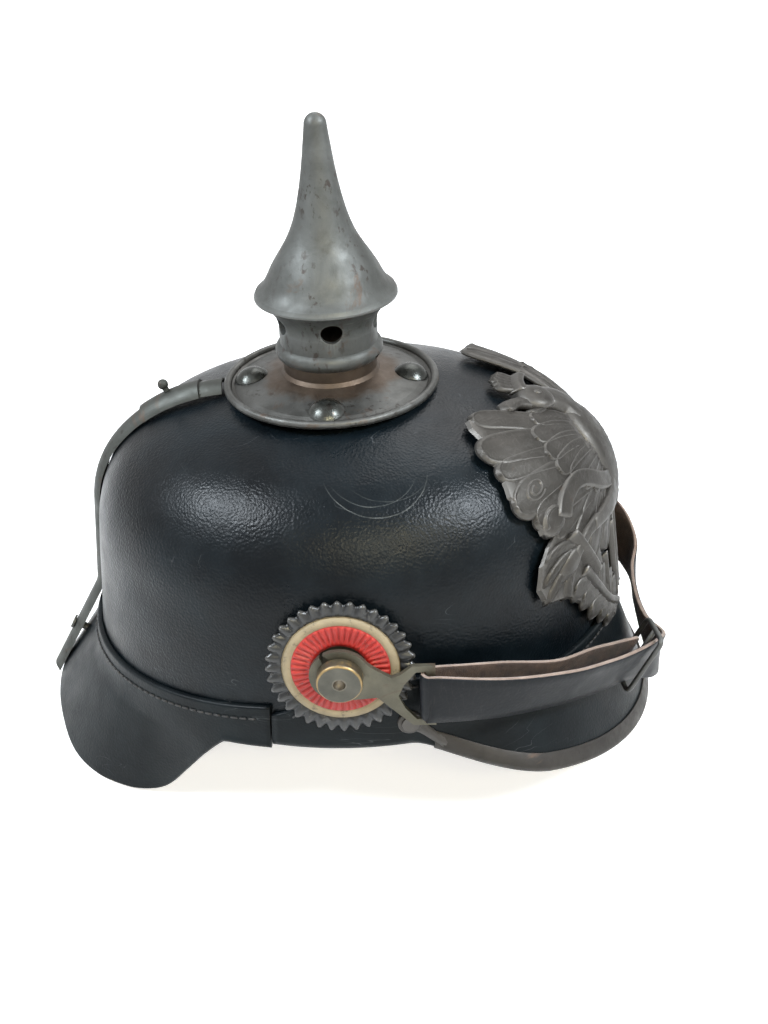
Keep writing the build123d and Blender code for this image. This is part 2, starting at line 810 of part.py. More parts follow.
def bayonet_cuts():
    """slots in the spike's foot that pass over the pins and turn behind them"""
    half = nib_radius + nib_clearance
    depth = sleeve_radius + nib_reach + nib_clearance
    margin = math.degrees(math.asin(half / sleeve_radius))
    inner = sleeve_radius - sleeve_sheet
    cuts = []
    for turn in (0, half_turn):
        low = disc_height + nib_height - half
        corner = [(inner, low), (depth, low), (depth, low + 2 * half), (inner, low + 2 * half)]
        face = make_face(Polyline(*corner, close=True))
        ring = revolve(Plane.XZ * face, Axis.Z, twist_travel + 2 * margin)
        cuts.append(Rot(0, 0, nib_entry_angle + turn - margin) * ring)
        foot = disc_height + collar_top - overrun / 10
        rise = disc_height + nib_height - foot
        entry = Pos((inner + depth) / 2, 0, foot + rise / 2) * Box(depth - inner, 2 * half, rise)
        tall = rise * notch_share
        notch = Pos(bead_radius, 0, foot + tall / 2) * Box(2 * (bead_radius - inner), 2 * half, tall)
        cuts.append(Rot(0, 0, nib_entry_angle + turn) * (entry + notch))
    return cuts


# half of the eagle's outline from the crown round to the tail: width share, height share
eagle_shares = (
    (0.000, 0.858), (0.061, 0.854), (0.114, 0.802), (0.091, 0.736), (0.136, 0.665), (0.212, 0.698),
    (0.303, 0.792), (0.364, 0.887), (0.417, 0.972), (0.470, 1.000), (0.530, 0.986), (0.621, 0.939),
    (0.682, 0.939), (0.742, 0.892), (0.758, 0.863), (0.818, 0.844), (0.871, 0.807), (0.886, 0.764),
    (0.841, 0.726), (0.886, 0.689), (0.902, 0.637), (0.856, 0.599), (0.909, 0.590), (0.970, 0.561),
    (1.000, 0.500), (0.977, 0.429), (0.864, 0.368), (0.788, 0.292), (0.712, 0.217), (0.545, 0.113),
    (0.364, 0.033), (0.182, 0.000), (0.000, 0.019),
)
# openings between wing and neck, and between tail and sprays
eagle_window_shares = (
    ((0.318, 0.642), (0.394, 0.618), (0.386, 0.561), (0.326, 0.575)),
    ((0.258, 0.404), (0.448, 0.424), (0.561, 0.368), (0.530, 0.250), (0.348, 0.151), (0.212, 0.132)),
)


def plate_plane():
    return Plane(origin=(0, 0, 0), x_dir=(1, 0, 0), z_dir=(0, -math.cos(plate_tilt), math.sin(plate_tilt)))


def plate_xy(share):
    return share[0] * plate_half_width, plate_low + share[1] * plate_rise


def mirrored(point):
    return -point[0], point[1]


def front_plate():
    half = [plate_xy(share) for share in eagle_shares]
    outline = half + [mirrored(p) for p in reversed(half[1:-1])]
    face = make_face(Polyline(*outline, close=True))
    for window in eagle_window_shares:
        hole = [plate_xy(share) for share in window]
        face -= make_face(Polyline(*hole, close=True))
        face -= make_face(Polyline(*[mirrored(p) for p in reversed(hole)], close=True))
    block = plate_plane() * extrude(face, 2 * rim_half_length)
    return block & (dome(plate_standoff + plate_sheet) - dome(plate_standoff))


def plate_point(across, up):
    """point of the skull's outside under a place on the plate"""
    low, high = 0.0, 2 * rim_half_length
    for step in range(search_steps):
        out = (low + high) / 2
        y = up * math.sin(plate_tilt) - out * math.cos(plate_tilt)
        z = up * math.cos(plate_tilt) + out * math.sin(plate_tilt)
        inside = z < crown_height and math.hypot(across / width_share, y - skull_centre_y) < round_radius(z)
        low, high = (out, high) if inside else (low, out)
    return across, y, z


def plate_loop_place(side):
    """place and normal on the skull's outside where a loop passes through"""
    up = plate_xy((0, plate_loop_share))[1]
    x, y, z = plate_point(side * plate_loop_spacing / 2, up)
    slope = (round_radius(z + layer_gap) - round_radius(z - layer_gap)) / (2 * layer_gap)
    flat = math.hypot(x / width_share, y - skull_centre_y)
    normal = Vector(x / width_share ** 2 / flat, (y - skull_centre_y) / flat, -slope).normalized()
    return (x, y, z), normal


def level_tangent(normal):
    return Vector(-normal.Y, normal.X, 0).normalized()


def plate_loop_planes():
    places = [plate_loop_place(side) for side in (-1, 1)]
    return [Plane(origin=place, x_dir=level_tangent(normal), z_dir=normal) for place, normal in places]


def plate_loops():
    loops = []
    under_plate = dome(plate_standoff - layer_gap)
    for plane in plate_loop_planes():
        top = 2 * plate_standoff
        length = top + loop_depth
        bar = Pos(0, 0, (top - loop_depth) / 2) * Box(loop_width, loop_wire, length)
        window = loop_depth - 2 * loop_wire
        middle = loop_wire + window / 2 - loop_depth
        bar -= Pos(0, 0, middle) * Box(loop_width - 2 * loop_wire, overrun, window)
        loops.append((plane * bar) & under_plate)
    return loops


def plate_wedges():
    wedges = []
    for plane in plate_loop_planes():
        drop = loop_depth - loop_wire - wedge_thickness / 2 - layer_gap
        width = loop_width - 2 * loop_wire - 2 * layer_gap
        wedges.append(plane * Pos(0, 0, -drop) * Box(width, wedge_length, wedge_thickness))
    return wedges


def side_frame(side, plane, lean_angle=0.0):
    """frame at a side post, z axis outward"""
    return Pos(side * plane, post_y, post_height) * Rot(0, side * (90 - lean_angle), 0)


def cockade(side):
    points = []
    for step in range(2 * cockade_flutes):
        radius = cockade_radius - (step % 2) * flute_depth
        x, y = rotated(radius, step * half_turn / cockade_flutes)
        points.append((x, y))
    body = extrude(make_face(Polyline(*points, close=True)), cockade_sheet)
    ring = cockade_sheet + ring_rise
    face = ring + red_rise
    body += Pos(0, 0, ring / 2) * Cylinder(ring_radius, ring)
    body += Pos(0, 0, face / 2) * Cylinder(red_radius, face)
    body -= Pos(0, 0, face + hub_drop) * Cylinder(hub_radius, 4 * hub_drop)
    body -= Cylinder(post_stem + hub_play, overrun)
    return side_frame(side, cockade_plane, cockade_lean) * body


def side_post(side):
    head_plane = fitting_plane + fitting_sheet + fitting_head_gap
    head = Pos(0, 0, head_plane + post_head / 2) * Cylinder(post_head_radius, post_head)
    head = fillet(head.edges().filter_by(GeomType.CIRCLE).group_by(Axis.Z)[-1], post_head / 4)
    head -= Pos(0, 0, head_plane + post_head) * Sphere(post_head / 2)
    stem_low = cockade_plane - cockade_sheet
    stem = Pos(0, 0, (stem_low + head_plane) / 2) * Cylinder(post_stem, head_plane - stem_low)
    thread_low = post_washer_plane - post_nut - 2 * washer_sheet
    thread = Pos(0, 0, (thread_low + stem_low) / 2) * Cylinder(post_thread, stem_low - thread_low)
    return side_frame(side, 0) * (head + stem + thread)


def post_washers():
    washer = Pos(0, 0, post_washer_plane - washer_sheet / 2) * Cylinder(post_washer_radius, washer_sheet)
    washer -= Cylinder(post_thread + layer_gap, 4 * overrun)
    return [side_frame(side, 0) * washer for side in (-1, 1)]


def post_nuts():
    low = post_washer_plane - washer_sheet - layer_gap - post_nut
    nut = Pos(0, 0, low) * extrude(RegularPolygon(post_nut_radius, 6), post_nut)
    nut -= Cylinder(post_thread + layer_gap / 2, 4 * overrun)
    return [side_frame(side, 0) * nut for side in (-1, 1)]


# fitting outline round its fork, forward from the post: reach share, share of the span upward
fork_shares = (
    (0.10, 0.44), (0.40, 0.10), (0.56, -0.04), (0.66, 0.02), (0.79, 0.17), (1.04, 0.17),
    (1.04, -0.93), (0.79, -0.93), (0.66, -0.76), (0.56, -0.62), (0.40, -0.40), (0.08, -0.44),
)
fork_window_shares = (
    (0.94, 0.06), (0.83, 0.06), (0.70, -0.16), (0.63, -0.38), (0.70, -0.60), (0.83, -0.82), (0.94, -0.82),
)


def strap_fitting(side):
    outline = [(s * fitting_reach, t * fitting_span) for s, t in fork_shares]
    face = make_face(Polyline(*outline, close=True)) + Circle(fitting_ring)
    window = [(s * fitting_reach, t * fitting_span) for s, t in fork_window_shares]
    face -= make_face(Polyline(*window, close=True))
    hole = post_stem + fitting_play
    notch = hole - fitting_prong / 2
    face -= Circle(hole)
    face -= make_face(Polyline((0, notch), (hole + notch, 0), (0, -notch), close=True))
    wedge = make_face(Polyline((0, notch), (fitting_ring + notch, 0), (0, -notch), close=True))
    face -= Rot(0, 0, fitting_notch_angle) * wedge
    return place_fitting(face, side)


def place_fitting(face, side):
    origin = (fitting_plane, post_y, post_height)
    solid = Plane(origin=origin, x_dir=(0, -1, 0), z_dir=(-1, 0, 0)) * extrude(face, -fitting_sheet)
    return solid if side > 0 else mirror(solid, about=Plane.YZ)


def band(stations, width, leather):
    """leather band through stations of (x, y, z, outward lean of its top), as a ruled loft"""
    sections = []
    for i, (x, y, z, lean_out) in enumerate(stations):
        before = stations[max(i - 1, 0)]
        after = stations[min(i + 1, len(stations) - 1)]
        along = Vector(after[0] - before[0], after[1] - before[1], after[2] - before[2]).normalized()
        out = Vector(along.Y, -along.X, 0).normalized()
        if out.X * x + out.Y * y < 0:
            out = -out
        tilt = math.radians(lean_out)
        up = Vector(0, 0, math.cos(tilt)) + out * math.sin(tilt)
        up = (up - along * up.dot(along)).normalized()
        across = along.cross(up).normalized()
        place = Vector(x, y, z)
        rise = up * (width / 2)
        depth = across * (leather / 2)
        corners = [place + rise + depth, place + rise - depth, place - rise - depth, place - rise + depth]
        sections.append(make_face(Polyline(*corners, close=True)))
    return loft(sections, ruled=True)


def smoothed(points, count):
    """stations along a smooth line through hand-set ones"""
    line = Spline(*[p[:3] for p in points])
    leans = [p[3] for p in points]
    lengths = [0.0]
    for a, b in zip(points, points[1:]):
        lengths.append(lengths[-1] + math.dist(a[:3], b[:3]))
    stations = []
    for step in range(count + 1):
        share = step / count
        place = line @ share
        run = share * lengths[-1]
        i = max(j for j in range(len(lengths) - 1) if lengths[j] <= run)
        part = min((run - lengths[i]) / (lengths[i + 1] - lengths[i]), 1)
        stations.append((place.X, place.Y, place.Z, leans[i] + (leans[i + 1] - leans[i]) * part))
    return stations


# one half of the strap's outer layer, from its fold to the front: x share, y share, height share, lean
outer_shares = (
    (1.072, 0.3344, 1.577, 0), (0.985, 0.575, 1.43, 10), (0.86, 0.792, 1.3, 18), (0.725, 0.938, 1.17, 20),
    (0.566, 1.1, 1.075, 18), (0.375, 1.188, 0.83, 2), (0.19, 1.182, 0.73, -8), (0.0, 1.174, 0.712, -11),
)
inner_shares = (
    (1.01, 0.3344, 1.577, 0), (0.925, 0.53, 1.475, 5), (0.812, 0.735, 1.31, 12), (0.69, 0.885, 1.24, 16),
)


def strap_points(shares, side):
    return [(side * x * rim_half_width, -y * rim_half_length, z * rim_height, a) for x, y, z, a in shares]


def fold(side):
    """U turn of the leather round the fitting's bar"""
    outer = strap_points(outer_shares, side)[0]
    inner = strap_points(inner_shares, side)[0]
    centre = ((outer[0] + inner[0]) / 2, outer[1], (outer[2] + inner[2]) / 2)
    radius = abs(outer[0] - inner[0]) / 2
    stations = []
    for step in range(fold_stations + 1):
        angle = math.radians(half_turn * step / fold_stations)
        x = centre[0] + side * radius * math.cos(angle)
        y = centre[1] + radius * math.sin(angle)
        stations.append((x, y, centre[2] + (outer[2] - centre[2]) * math.cos(angle), 0))
    return stations


def chin_strap():
    right = smoothed(strap_points(outer_shares, -1), outer_stations)
    left = [(-x, y, z, a) for x, y, z, a in reversed(right[:-1])]
    strap = band(right + left, strap_width, strap_leather)
    for side in (-1, 1):
        place, outward, up, along = buckle_axes(side)
        end = place - outward * (strap_leather + 2 * strap_fold_gap + buckle_wire) - along * buckle_wire
        lean_out = strap_points(outer_shares, side)[4][3]
        points = strap_points(inner_shares, side) + [(end.X, end.Y, end.Z, lean_out)]
        strap += band(fold(side), strap_width, strap_leather)
        strap += band(smoothed(points, inner_stations), strap_width, strap_leather)
    return strap


def buckle_axes(side):
    """place on the outer layer where a buckle sits, with its outward, upward and lengthwise directions"""
    points = strap_points(outer_shares, side)
    x, y, z, lean_out = points[4]
    along = (Vector(*points[5][:3]) - Vector(*points[3][:3])).normalized()
    out = Vector(side * abs(along.Y), -abs(along.X), 0).normalized()
    tilt = math.radians(lean_out)
    up = Vector(0, 0, math.cos(tilt)) + out * math.sin(tilt)
    up = (up - along * up.dot(along)).normalized()
    outward = (out - along * out.dot(along) - up * out.dot(up)).normalized()
    return Vector(x, y, z), outward, up, along


def buckle(side):
    place, outward, up, along = buckle_axes(side)
    origin = place - outward * (strap_leather / 2 + strap_fold_gap + buckle_wire / 2)
    ring = Rectangle(buckle_depth, buckle_height)
    ring = fillet(ring.vertices(), buckle_wire)
    face = ring - Rectangle(buckle_depth - 2 * buckle_wire, buckle_height - 2 * buckle_wire)
    face += Rectangle(buckle_wire, buckle_height)
    plate = Pos(0, 0, -buckle_wire / 2) * extrude(face, buckle_wire)
    turn = math.radians(buckle_turn)
    facing = outward * math.cos(turn) - along * math.sin(turn)
    return Plane(origin=origin, x_dir=facing, z_dir=facing.cross(up)) * plate


def liner():
    outer = -(skull_leather + liner_gap)
    inner = outer - liner_leather
    cut = Pos(0, -skull_centre_y, 0) * below_rim()
    shell = round_dome(outer) - round_dome(inner)
    welt = round_dome(-skull_leather - soft_gap) - round_dome(inner)
    shell += welt & (Pos(0, 0, 2 * liner_leather) * cut)
    shell -= cut
    shell -= Pos(0, 0, liner_top + overrun) * Box(4 * overrun, 4 * overrun, 2 * overrun)
    slit_low = rim_height + liner_band_height
    slit_high = liner_top + liner_leather
    half = tongue_slit / 2
    for turn in range(tongue_count):
        angle = full_turn * (turn + 1 / 2) / tongue_count
        slit = make_face(Polyline((0, slit_low), (half, slit_high), (-half, slit_high), close=True))
        shell -= Rot(0, 0, angle) * extrude(Plane.YZ * slit, 2 * overrun)
        hole = Rot(0, 0, angle + half_turn / tongue_count) * Pos(lace_circle, 0, liner_top)
        shell -= hole * Cylinder(lace_hole, overrun)
    return draw_in(shell)


def write(name, shape):
    solids = shape if isinstance(shape, list) else [shape]
    parts = [s for item in solids for s in item.solids()]
    whole = parts[0] if len(parts) == 1 else Compound(children=parts)
    export_step(whole, os.path.join("parts", name + ".step"))
    print(name, len(parts), "solid(s)")


def main():
    os.makedirs("parts", exist_ok=True)
    write("leather_skull", skull())
    write("front_visor", visor())
    write("neck_guard", guard())
    write("visor_trim", trim())
    write("trim_rivets", trim_rivets())
    write("rear_spine", spine())
    write("spine_screw", spine_screw())
    write("vent_slide", vent_slide())
    write("vent_knob", vent_knob())
    write("base_plate", base_plate())
    write("base_studs", base_studs())
    write("stud_washers", stud_washers())
    write("collar_nibs", collar_nibs())
    write("spike", spike())
    write("front_plate", front_plate())
    write("plate_loops", plate_loops())
    write("plate_wedges", plate_wedges())
    for side, name in ((-1, "right"), (1, "left")):
        write("cockade_" + name, cockade(side))
        write("side_post_" + name, side_post(side))
        write("strap_fitting_" + name, strap_fitting(side))
        write("buckle_" + name, buckle(side))
    write("post_washers", post_washers())
    write("post_nuts", post_nuts())
    write("chin_strap", chin_strap())
    write("liner", liner())


main()
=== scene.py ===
from math import atan2, cos, dist, exp, floor, hypot, pi, radians, sin, sqrt, tan
import bmesh
import bpy
import numpy as np
from mathutils import Matrix, Vector, noise


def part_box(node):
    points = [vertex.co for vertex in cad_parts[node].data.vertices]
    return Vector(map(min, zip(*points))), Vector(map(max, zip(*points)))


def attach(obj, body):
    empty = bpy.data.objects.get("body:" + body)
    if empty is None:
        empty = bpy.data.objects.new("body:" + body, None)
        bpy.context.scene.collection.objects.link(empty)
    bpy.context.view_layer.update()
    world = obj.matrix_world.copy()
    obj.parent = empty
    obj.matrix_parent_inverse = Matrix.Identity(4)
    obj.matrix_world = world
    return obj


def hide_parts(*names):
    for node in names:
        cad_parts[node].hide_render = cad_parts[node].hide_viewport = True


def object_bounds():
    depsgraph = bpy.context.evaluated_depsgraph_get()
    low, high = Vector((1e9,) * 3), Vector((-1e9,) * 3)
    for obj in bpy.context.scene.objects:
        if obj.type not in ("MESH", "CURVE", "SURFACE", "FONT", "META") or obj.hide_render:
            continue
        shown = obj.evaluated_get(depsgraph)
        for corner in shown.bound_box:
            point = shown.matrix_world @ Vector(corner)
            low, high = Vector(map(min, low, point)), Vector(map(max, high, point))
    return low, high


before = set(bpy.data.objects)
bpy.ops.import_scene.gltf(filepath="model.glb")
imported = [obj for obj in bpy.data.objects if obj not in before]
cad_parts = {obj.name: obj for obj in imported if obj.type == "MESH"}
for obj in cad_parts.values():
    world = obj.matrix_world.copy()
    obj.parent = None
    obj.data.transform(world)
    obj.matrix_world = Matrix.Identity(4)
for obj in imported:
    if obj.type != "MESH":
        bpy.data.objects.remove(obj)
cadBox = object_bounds()
mm = 0.001
print("frame loaded")

# sizes of the leather shell in mm, as the solids have them
shell = {
    "halfLength": 103.5,
    "halfWidth": 91,
    "centreY": -4.3,
    "rim": 41,
    "rearRim": 36,
    "crown": 139,
    "shoulder": 90,
    "shoulderRadius": 46,
    "lean": radians(7),
    "leather": 2.6,
    "gap": 0.1,
    "postY": -4.4,
    "postZ": 73.5,
    # slow wander of the old leather: depth, grain, and the height above which it also points upward
    "wander": 0.25,
    "grain": 0.045,
    "upright": 60,
}
widthShare = shell["halfWidth"] / shell["halfLength"]
# stations on each curve of the skull's meridian, and on a part of it
stations = {"wall": 14, "bow": 22, "crown": 22, "part": 24}


def wallRadius(z):
    return shell["halfLength"] - (z - shell["rim"]) * tan(shell["lean"])


bowR = shell["shoulderRadius"]
bowX = wallRadius(shell["shoulder"]) - bowR * cos(shell["lean"])
bowZ = shell["shoulder"] - bowR * sin(shell["lean"])
crownGap = shell["crown"] - bowZ
crownR = (bowX ** 2 + crownGap ** 2 - bowR ** 2) / (2 * (crownGap - bowR))
crownZ = shell["crown"] - crownR
crownTurn = atan2(bowX, bowZ - crownZ)


def meridian(offset, low, high=None):
    # radius and height from a low place up the wall, round the shoulder and over the crown
    path = []
    lean = shell["lean"]
    endR = wallRadius(shell["shoulder"]) + offset * cos(lean)
    endZ = shell["shoulder"] + offset * sin(lean)
    startR = wallRadius(low) + offset / cos(lean)
    for i in range(stations["wall"]):
        t = i / stations["wall"]
        path.append((startR + (endR - startR) * t, low + (endZ - low) * t))
    for i in range(stations["bow"]):
        turn = pi / 2 - lean + (crownTurn - pi / 2 + lean) * i / stations["bow"]
        path.append((bowX + (bowR + offset) * sin(turn), bowZ + (bowR + offset) * cos(turn)))
    for i in range(stations["crown"] + 1):
        turn = crownTurn * (1 - i / stations["crown"])
        path.append(((crownR + offset) * sin(turn), crownZ + (crownR + offset) * cos(turn)))
    return path if high is None else trimmed(path, high)


def trimmed(path, high):
    # the part of a rising path below a height, in even steps
    kept = [path[0]]
    for a, b in zip(path, path[1:]):
        if b[1] >= high:
            t = (high - a[1]) / (b[1] - a[1])
            kept.append((a[0] + (b[0] - a[0]) * t, high))
            break
        kept.append(b)
    return resampled(kept, stations["part"])


def resampled(points, count):
    pts = np.array(points, float)
    steps = np.r_[0, np.cumsum(np.linalg.norm(np.diff(pts, axis=0), axis=1))]
    even = np.linspace(0, steps[-1], count + 1)
    return list(zip(*(np.interp(even, steps, column) for column in pts.T)))


def smooth(low, high, value):
    t = min(max((value - low) / (high - low), 0), 1)
    return t * t * (3 - 2 * t)


def rimAt(y):
    share = max(y - shell["postY"], 0) / (shell["halfLength"] + shell["centreY"] - shell["postY"])
    return shell["rim"] - (shell["rim"] - shell["rearRim"]) * min(share, 1)


def rimUnder(degrees):
    # height of the rim at an angle from the front
    return rimAt(shell["centreY"] - shell["halfLength"] * cos(radians(degrees)))


def inPlace(radius, degrees, z):
    # a place of the round form at an angle from the front, drawn in to the helmet's oval, in mm
    a = radians(degrees)
    return (radius * sin(a) * widthShare, shell["centreY"] - radius * cos(a), z)


def rounded(corners, radii, steps=5):
    # closed outline with each corner turned through a soft bend
    line = []
    n = len(corners)
    for i in range(n):
        a, p, b = (np.array(corners[(i + k) % n], float) for k in (-1, 0, 1))
        r = radii[i]
        la, lb = np.linalg.norm(a - p), np.linalg.norm(b - p)
        start = p + (a - p) / la * min(r, la * 0.48)
        end = p + (b - p) / lb * min(r, lb * 0.48)
        for k in range(steps + 1):
            t = k / steps
            line.append(tuple((1 - t) ** 2 * start + 2 * t * (1 - t) * p + t * t * end))
    return line


# mesh building


def facing(out):
    # level and rising directions across one that points outward
    across = Vector((0, 0, 1)).cross(out).normalized()
    return across, out.cross(across)


def makeMesh(name, verts, faces, mats, faceMats=None, unit=mm):
    mesh = bpy.data.meshes.new(name)
    mesh.from_pydata([tuple(c * unit for c in v) for v in verts], [], faces)
    for m in mats:
        mesh.materials.append(m)
    if faceMats is not None:
        mesh.polygons.foreach_set("material_index", faceMats)
    mesh.polygons.foreach_set("use_smooth", [True] * len(mesh.polygons))
    build = bmesh.new()
    build.from_mesh(mesh)
    bmesh.ops.remove_doubles(build, verts=build.verts, dist=1e-6)
    bmesh.ops.recalc_face_normals(build, faces=build.faces)
    build.to_mesh(mesh)
    build.free()
    obj = bpy.data.objects.new(name, mesh)
    bpy.context.scene.collection.objects.link(obj)
    return obj


def gridFaces(rows, cols, wrapRows, wrapCols, caps=False, base=0):
    faces = []
    for i in range(rows if wrapRows else rows - 1):
        for j in range(cols if wrapCols else cols - 1):
            a, b = base + i * cols, base + ((i + 1) % rows) * cols
            k = (j + 1) % cols
            faces.append((a + j, b + j, b + k, a + k))
    if caps:
        faces.append(tuple(range(base, base + cols)))
        faces.append(tuple(range(base + (rows - 1) * cols, base + rows * cols))[::-1])
    return faces


def sweptShell(name, angles, outlineAt, mats, wrap=False, closed=True, pick=None):
    # mesh from one outline of radius and height at each angle from the front
    rows = [[inPlace(r, a, z) for r, z in outlineAt(a)] for a in angles]
    cols = len(rows[0])
    faces = gridFaces(len(rows), cols, wrap, closed, caps=closed and not wrap)
    chosen = [pick(f[0] % cols) if len(f) == 4 else 0 for f in faces] if pick else None
    return makeMesh(name, [p for row in rows for p in row], faces, mats, chosen)


def tubePart(path, radius, sides, closed=False):
    # round bar along a path, as a list of places and one of faces
    pts = [Vector(p) for p in path]
    n = len(pts)
    verts = []
    normal = None
    for i, p in enumerate(pts):
        before = pts[(i - 1) % n] if closed or i else p
        after = pts[(i + 1) % n] if closed or i < n - 1 else p
        along = (after - before).normalized()
        if normal is None:
            normal = along.orthogonal().normalized()
        normal = (normal - along * normal.dot(along)).normalized()
        side = along.cross(normal)
        for k in range(sides):
            a = 2 * pi * k / sides
            verts.append(tuple(p + (normal * cos(a) + side * sin(a)) * radius))
    return verts, gridFaces(n, sides, closed, True, caps=not closed)


def joined(name, parts, mats):
    # several (vertices, faces) lists as one piece
    verts, faces = [], []
    for v, f in parts:
        base = len(verts)
        verts += v
        faces += [tuple(i + base for i in face) for face in f]
    return makeMesh(name, verts, faces, mats)


def between(p0, p1, p2, p3, t):
    # soft curve between the middle two of four places or numbers
    return 0.5 * (2 * p1 + (p2 - p0) * t + (2 * p0 - 5 * p1 + 4 * p2 - p3) * t * t
                  + (3 * p1 - p0 - 3 * p2 + p3) * t ** 3)


def smoothLine(points, count):
    # even stations on a soft line through points of any width of row
    pts = np.array(points, float)
    n = len(pts)
    fine = []
    for i in range(n - 1):
        p0, p1, p2, p3 = pts[max(i - 1, 0)], pts[i], pts[i + 1], pts[min(i + 2, n - 1)]
        for k in range(24):
            fine.append(between(p0, p1, p2, p3, k / 24))
    fine.append(pts[-1])
    return resampled(fine, count)


# materials


class Nodes:
    # short way to write the node tree of a material or a world
    def __init__(self, holder, coordinates="Object"):
        holder.use_nodes = True
        self.holder = holder
        self.tree = holder.node_tree
        self.shader = self.tree.nodes.get("Principled BSDF")
        self.coord = self.add("ShaderNodeTexCoord").outputs[coordinates]

    def add(self, kind, **values):
        # a node with its properties and sockets set by name
        node = self.tree.nodes.new(kind)
        for key, value in values.items():
            if hasattr(node, key):
                setattr(node, key, value)
            else:
                self.feed(node.inputs[key], value)
        return node

    def feed(self, socket, value):
        # a socket takes the output of another node, a colour or a number
        if isinstance(value, bpy.types.NodeSocket):
            self.tree.links.new(value, socket)
        else:
            socket.default_value = (*value, 1) if socket.type == "RGBA" else value

    def noise(self, scale, detail=4, roughness=0.55, distortion=0, stretch=None):
        place = self.coord
        if stretch:
            place = self.add("ShaderNodeMapping", Vector=place, Scale=stretch).outputs["Vector"]
        node = self.add("ShaderNodeTexNoise", Vector=place, Scale=scale, Detail=detail,
                        Roughness=roughness, Distortion=distortion)
        return node.outputs["Fac"]

    def cells(self, scale):
        node = self.add("ShaderNodeTexVoronoi", feature="SMOOTH_F1", Vector=self.coord, Scale=scale)
        return node.outputs["Distance"]

    def ramp(self, source, *stops):
        # stops of place and tone
        node = self.add("ShaderNodeValToRGB", Fac=source)
        marks = node.color_ramp.elements
        while len(marks) < len(stops):
            marks.new(0.5)
        for mark, (place, tone) in zip(marks, stops):
            mark.position = place
            mark.color = (tone, tone, tone, 1)
        return node.outputs["Color"]

    def rise(self, source, low, high):
        return self.ramp(source, (low, 0), (high, 1))

    def mix(self, share, first, second):
        node = self.add("ShaderNodeMix", data_type="RGBA")
        for socket, value in ((0, share), (6, first), (7, second)):
            self.feed(node.inputs[socket], value)
        return node.outputs[2]

    def maths(self, operation, first, second=0):
        node = self.add("ShaderNodeMath", operation=operation)
        self.feed(node.inputs[0], first)
        self.feed(node.inputs[1], second)
        return node.outputs[0]

    def times(self, first, second):
        return self.maths("MULTIPLY", first, second)

    def plus(self, first, second):
        return self.maths("ADD", first, second)

    def axis(self, name):
        return self.add("ShaderNodeSeparateXYZ", Vector=self.coord).outputs[name]

    def ring(self, axes, centre):
        # distance in cm from a line or point, over the coordinates named
        total = 0
        for axis, value in zip(axes, centre):
            total = self.plus(self.maths("POWER", self.maths("SUBTRACT", self.axis(axis), value), 2), total)
        return self.times(self.maths("SQRT", total), 100)

    def backdrop(self):
        # 1 for the rays that see the pale backdrop itself: from the camera, off gloss or through glass
        path = self.add("ShaderNodeLightPath")
        seen = self.maths("MAXIMUM", path.outputs["Is Camera Ray"], path.outputs["Is Glossy Ray"])
        return self.maths("MAXIMUM", seen, path.outputs["Is Transmission Ray"])

    def pointiness(self):
        return self.add("ShaderNodeNewGeometry").outputs["Pointiness"]

    def finish(self, colour, roughness, bumps=(), **sockets):
        # the shader's sockets, and bumps of height, strength and depth laid one over the other
        inputs = self.shader.inputs
        for key, value in {"Base_Color": colour, "Roughness": roughness, **sockets}.items():
            self.feed(inputs[key.replace("_", " ")], value)
        socket = inputs["Normal"]
        for height, strength, depth in reversed(bumps):
            bump = self.add("ShaderNodeBump", Height=height, Strength=strength, Distance=depth)
            self.feed(socket, bump.outputs["Normal"])
            socket = bump.inputs["Normal"]
        return self.holder


def lacqueredLeather(name, dark, pale, pebble=1, gloss=0.26, level=0.16, scores=()):
    # black lacquer over leather: pebbled where it has crackled, with faint curved scratches
    n = Nodes(bpy.data.materials.new(name))
    cloud = n.noise(30, 6, 0.62)
    colour = n.mix(n.rise(cloud, 0.38, 0.72), dark, pale)
    scratch = n.ramp(n.noise(22, 2, 0.4, 2.2, (1, 1, 4)), (0.4975, 0), (0.5, 1), (0.5025, 0))
    thin = n.times(scratch, n.ramp(n.noise(46, 2), (0.54, 0), (0.64, 0.6)))
    colour = n.mix(thin, colour, (0.075, 0.08, 0.085))
    scuff = n.ramp(n.noise(260, 5, 0.7), (0.66, 0), (0.74, 0.5))
    worn = n.rise(cloud, 0.5, 0.62)
    colour = n.mix(n.times(scuff, worn), colour, (0.05, 0.052, 0.055))
    for centre, radius, top, strength in scores:
        # an arc scored into the lacquer, kept below a height
        ragged = n.plus(n.ring("XYZ", centre), n.times(n.noise(90, 2), 0.1))
        arc = n.ramp(n.maths("SUBTRACT", ragged, radius - 0.5), (0.52, 0), (0.545, 1), (0.57, 0))
        height = n.times(n.maths("SUBTRACT", n.axis("Z"), top - 0.05), 10)
        arc = n.times(arc, n.ramp(height, (0.46, 1), (0.51, 0)))
        arc = n.times(arc, n.ramp(n.noise(150, 4, 0.7), (0.35, 0.25), (0.6, 1)))
        colour = n.mix(n.times(arc, strength), colour, (0.16, 0.17, 0.165))
    bumps = [(n.cells(1150), 0.34 * pebble, 0.0004), (n.noise(2100, 3, 0.6), 0.2 * pebble, 0.0002),
             (n.noise(60, 3, 0.5), 0.2, 0.0008), (thin, 0.1, 0.0002)]
    rough = n.ramp(n.noise(70, 6, 0.7), (0.32, gloss), (0.68, gloss + 0.14))
    return n.finish(colour, rough, bumps, Specular_IOR_Level=level)


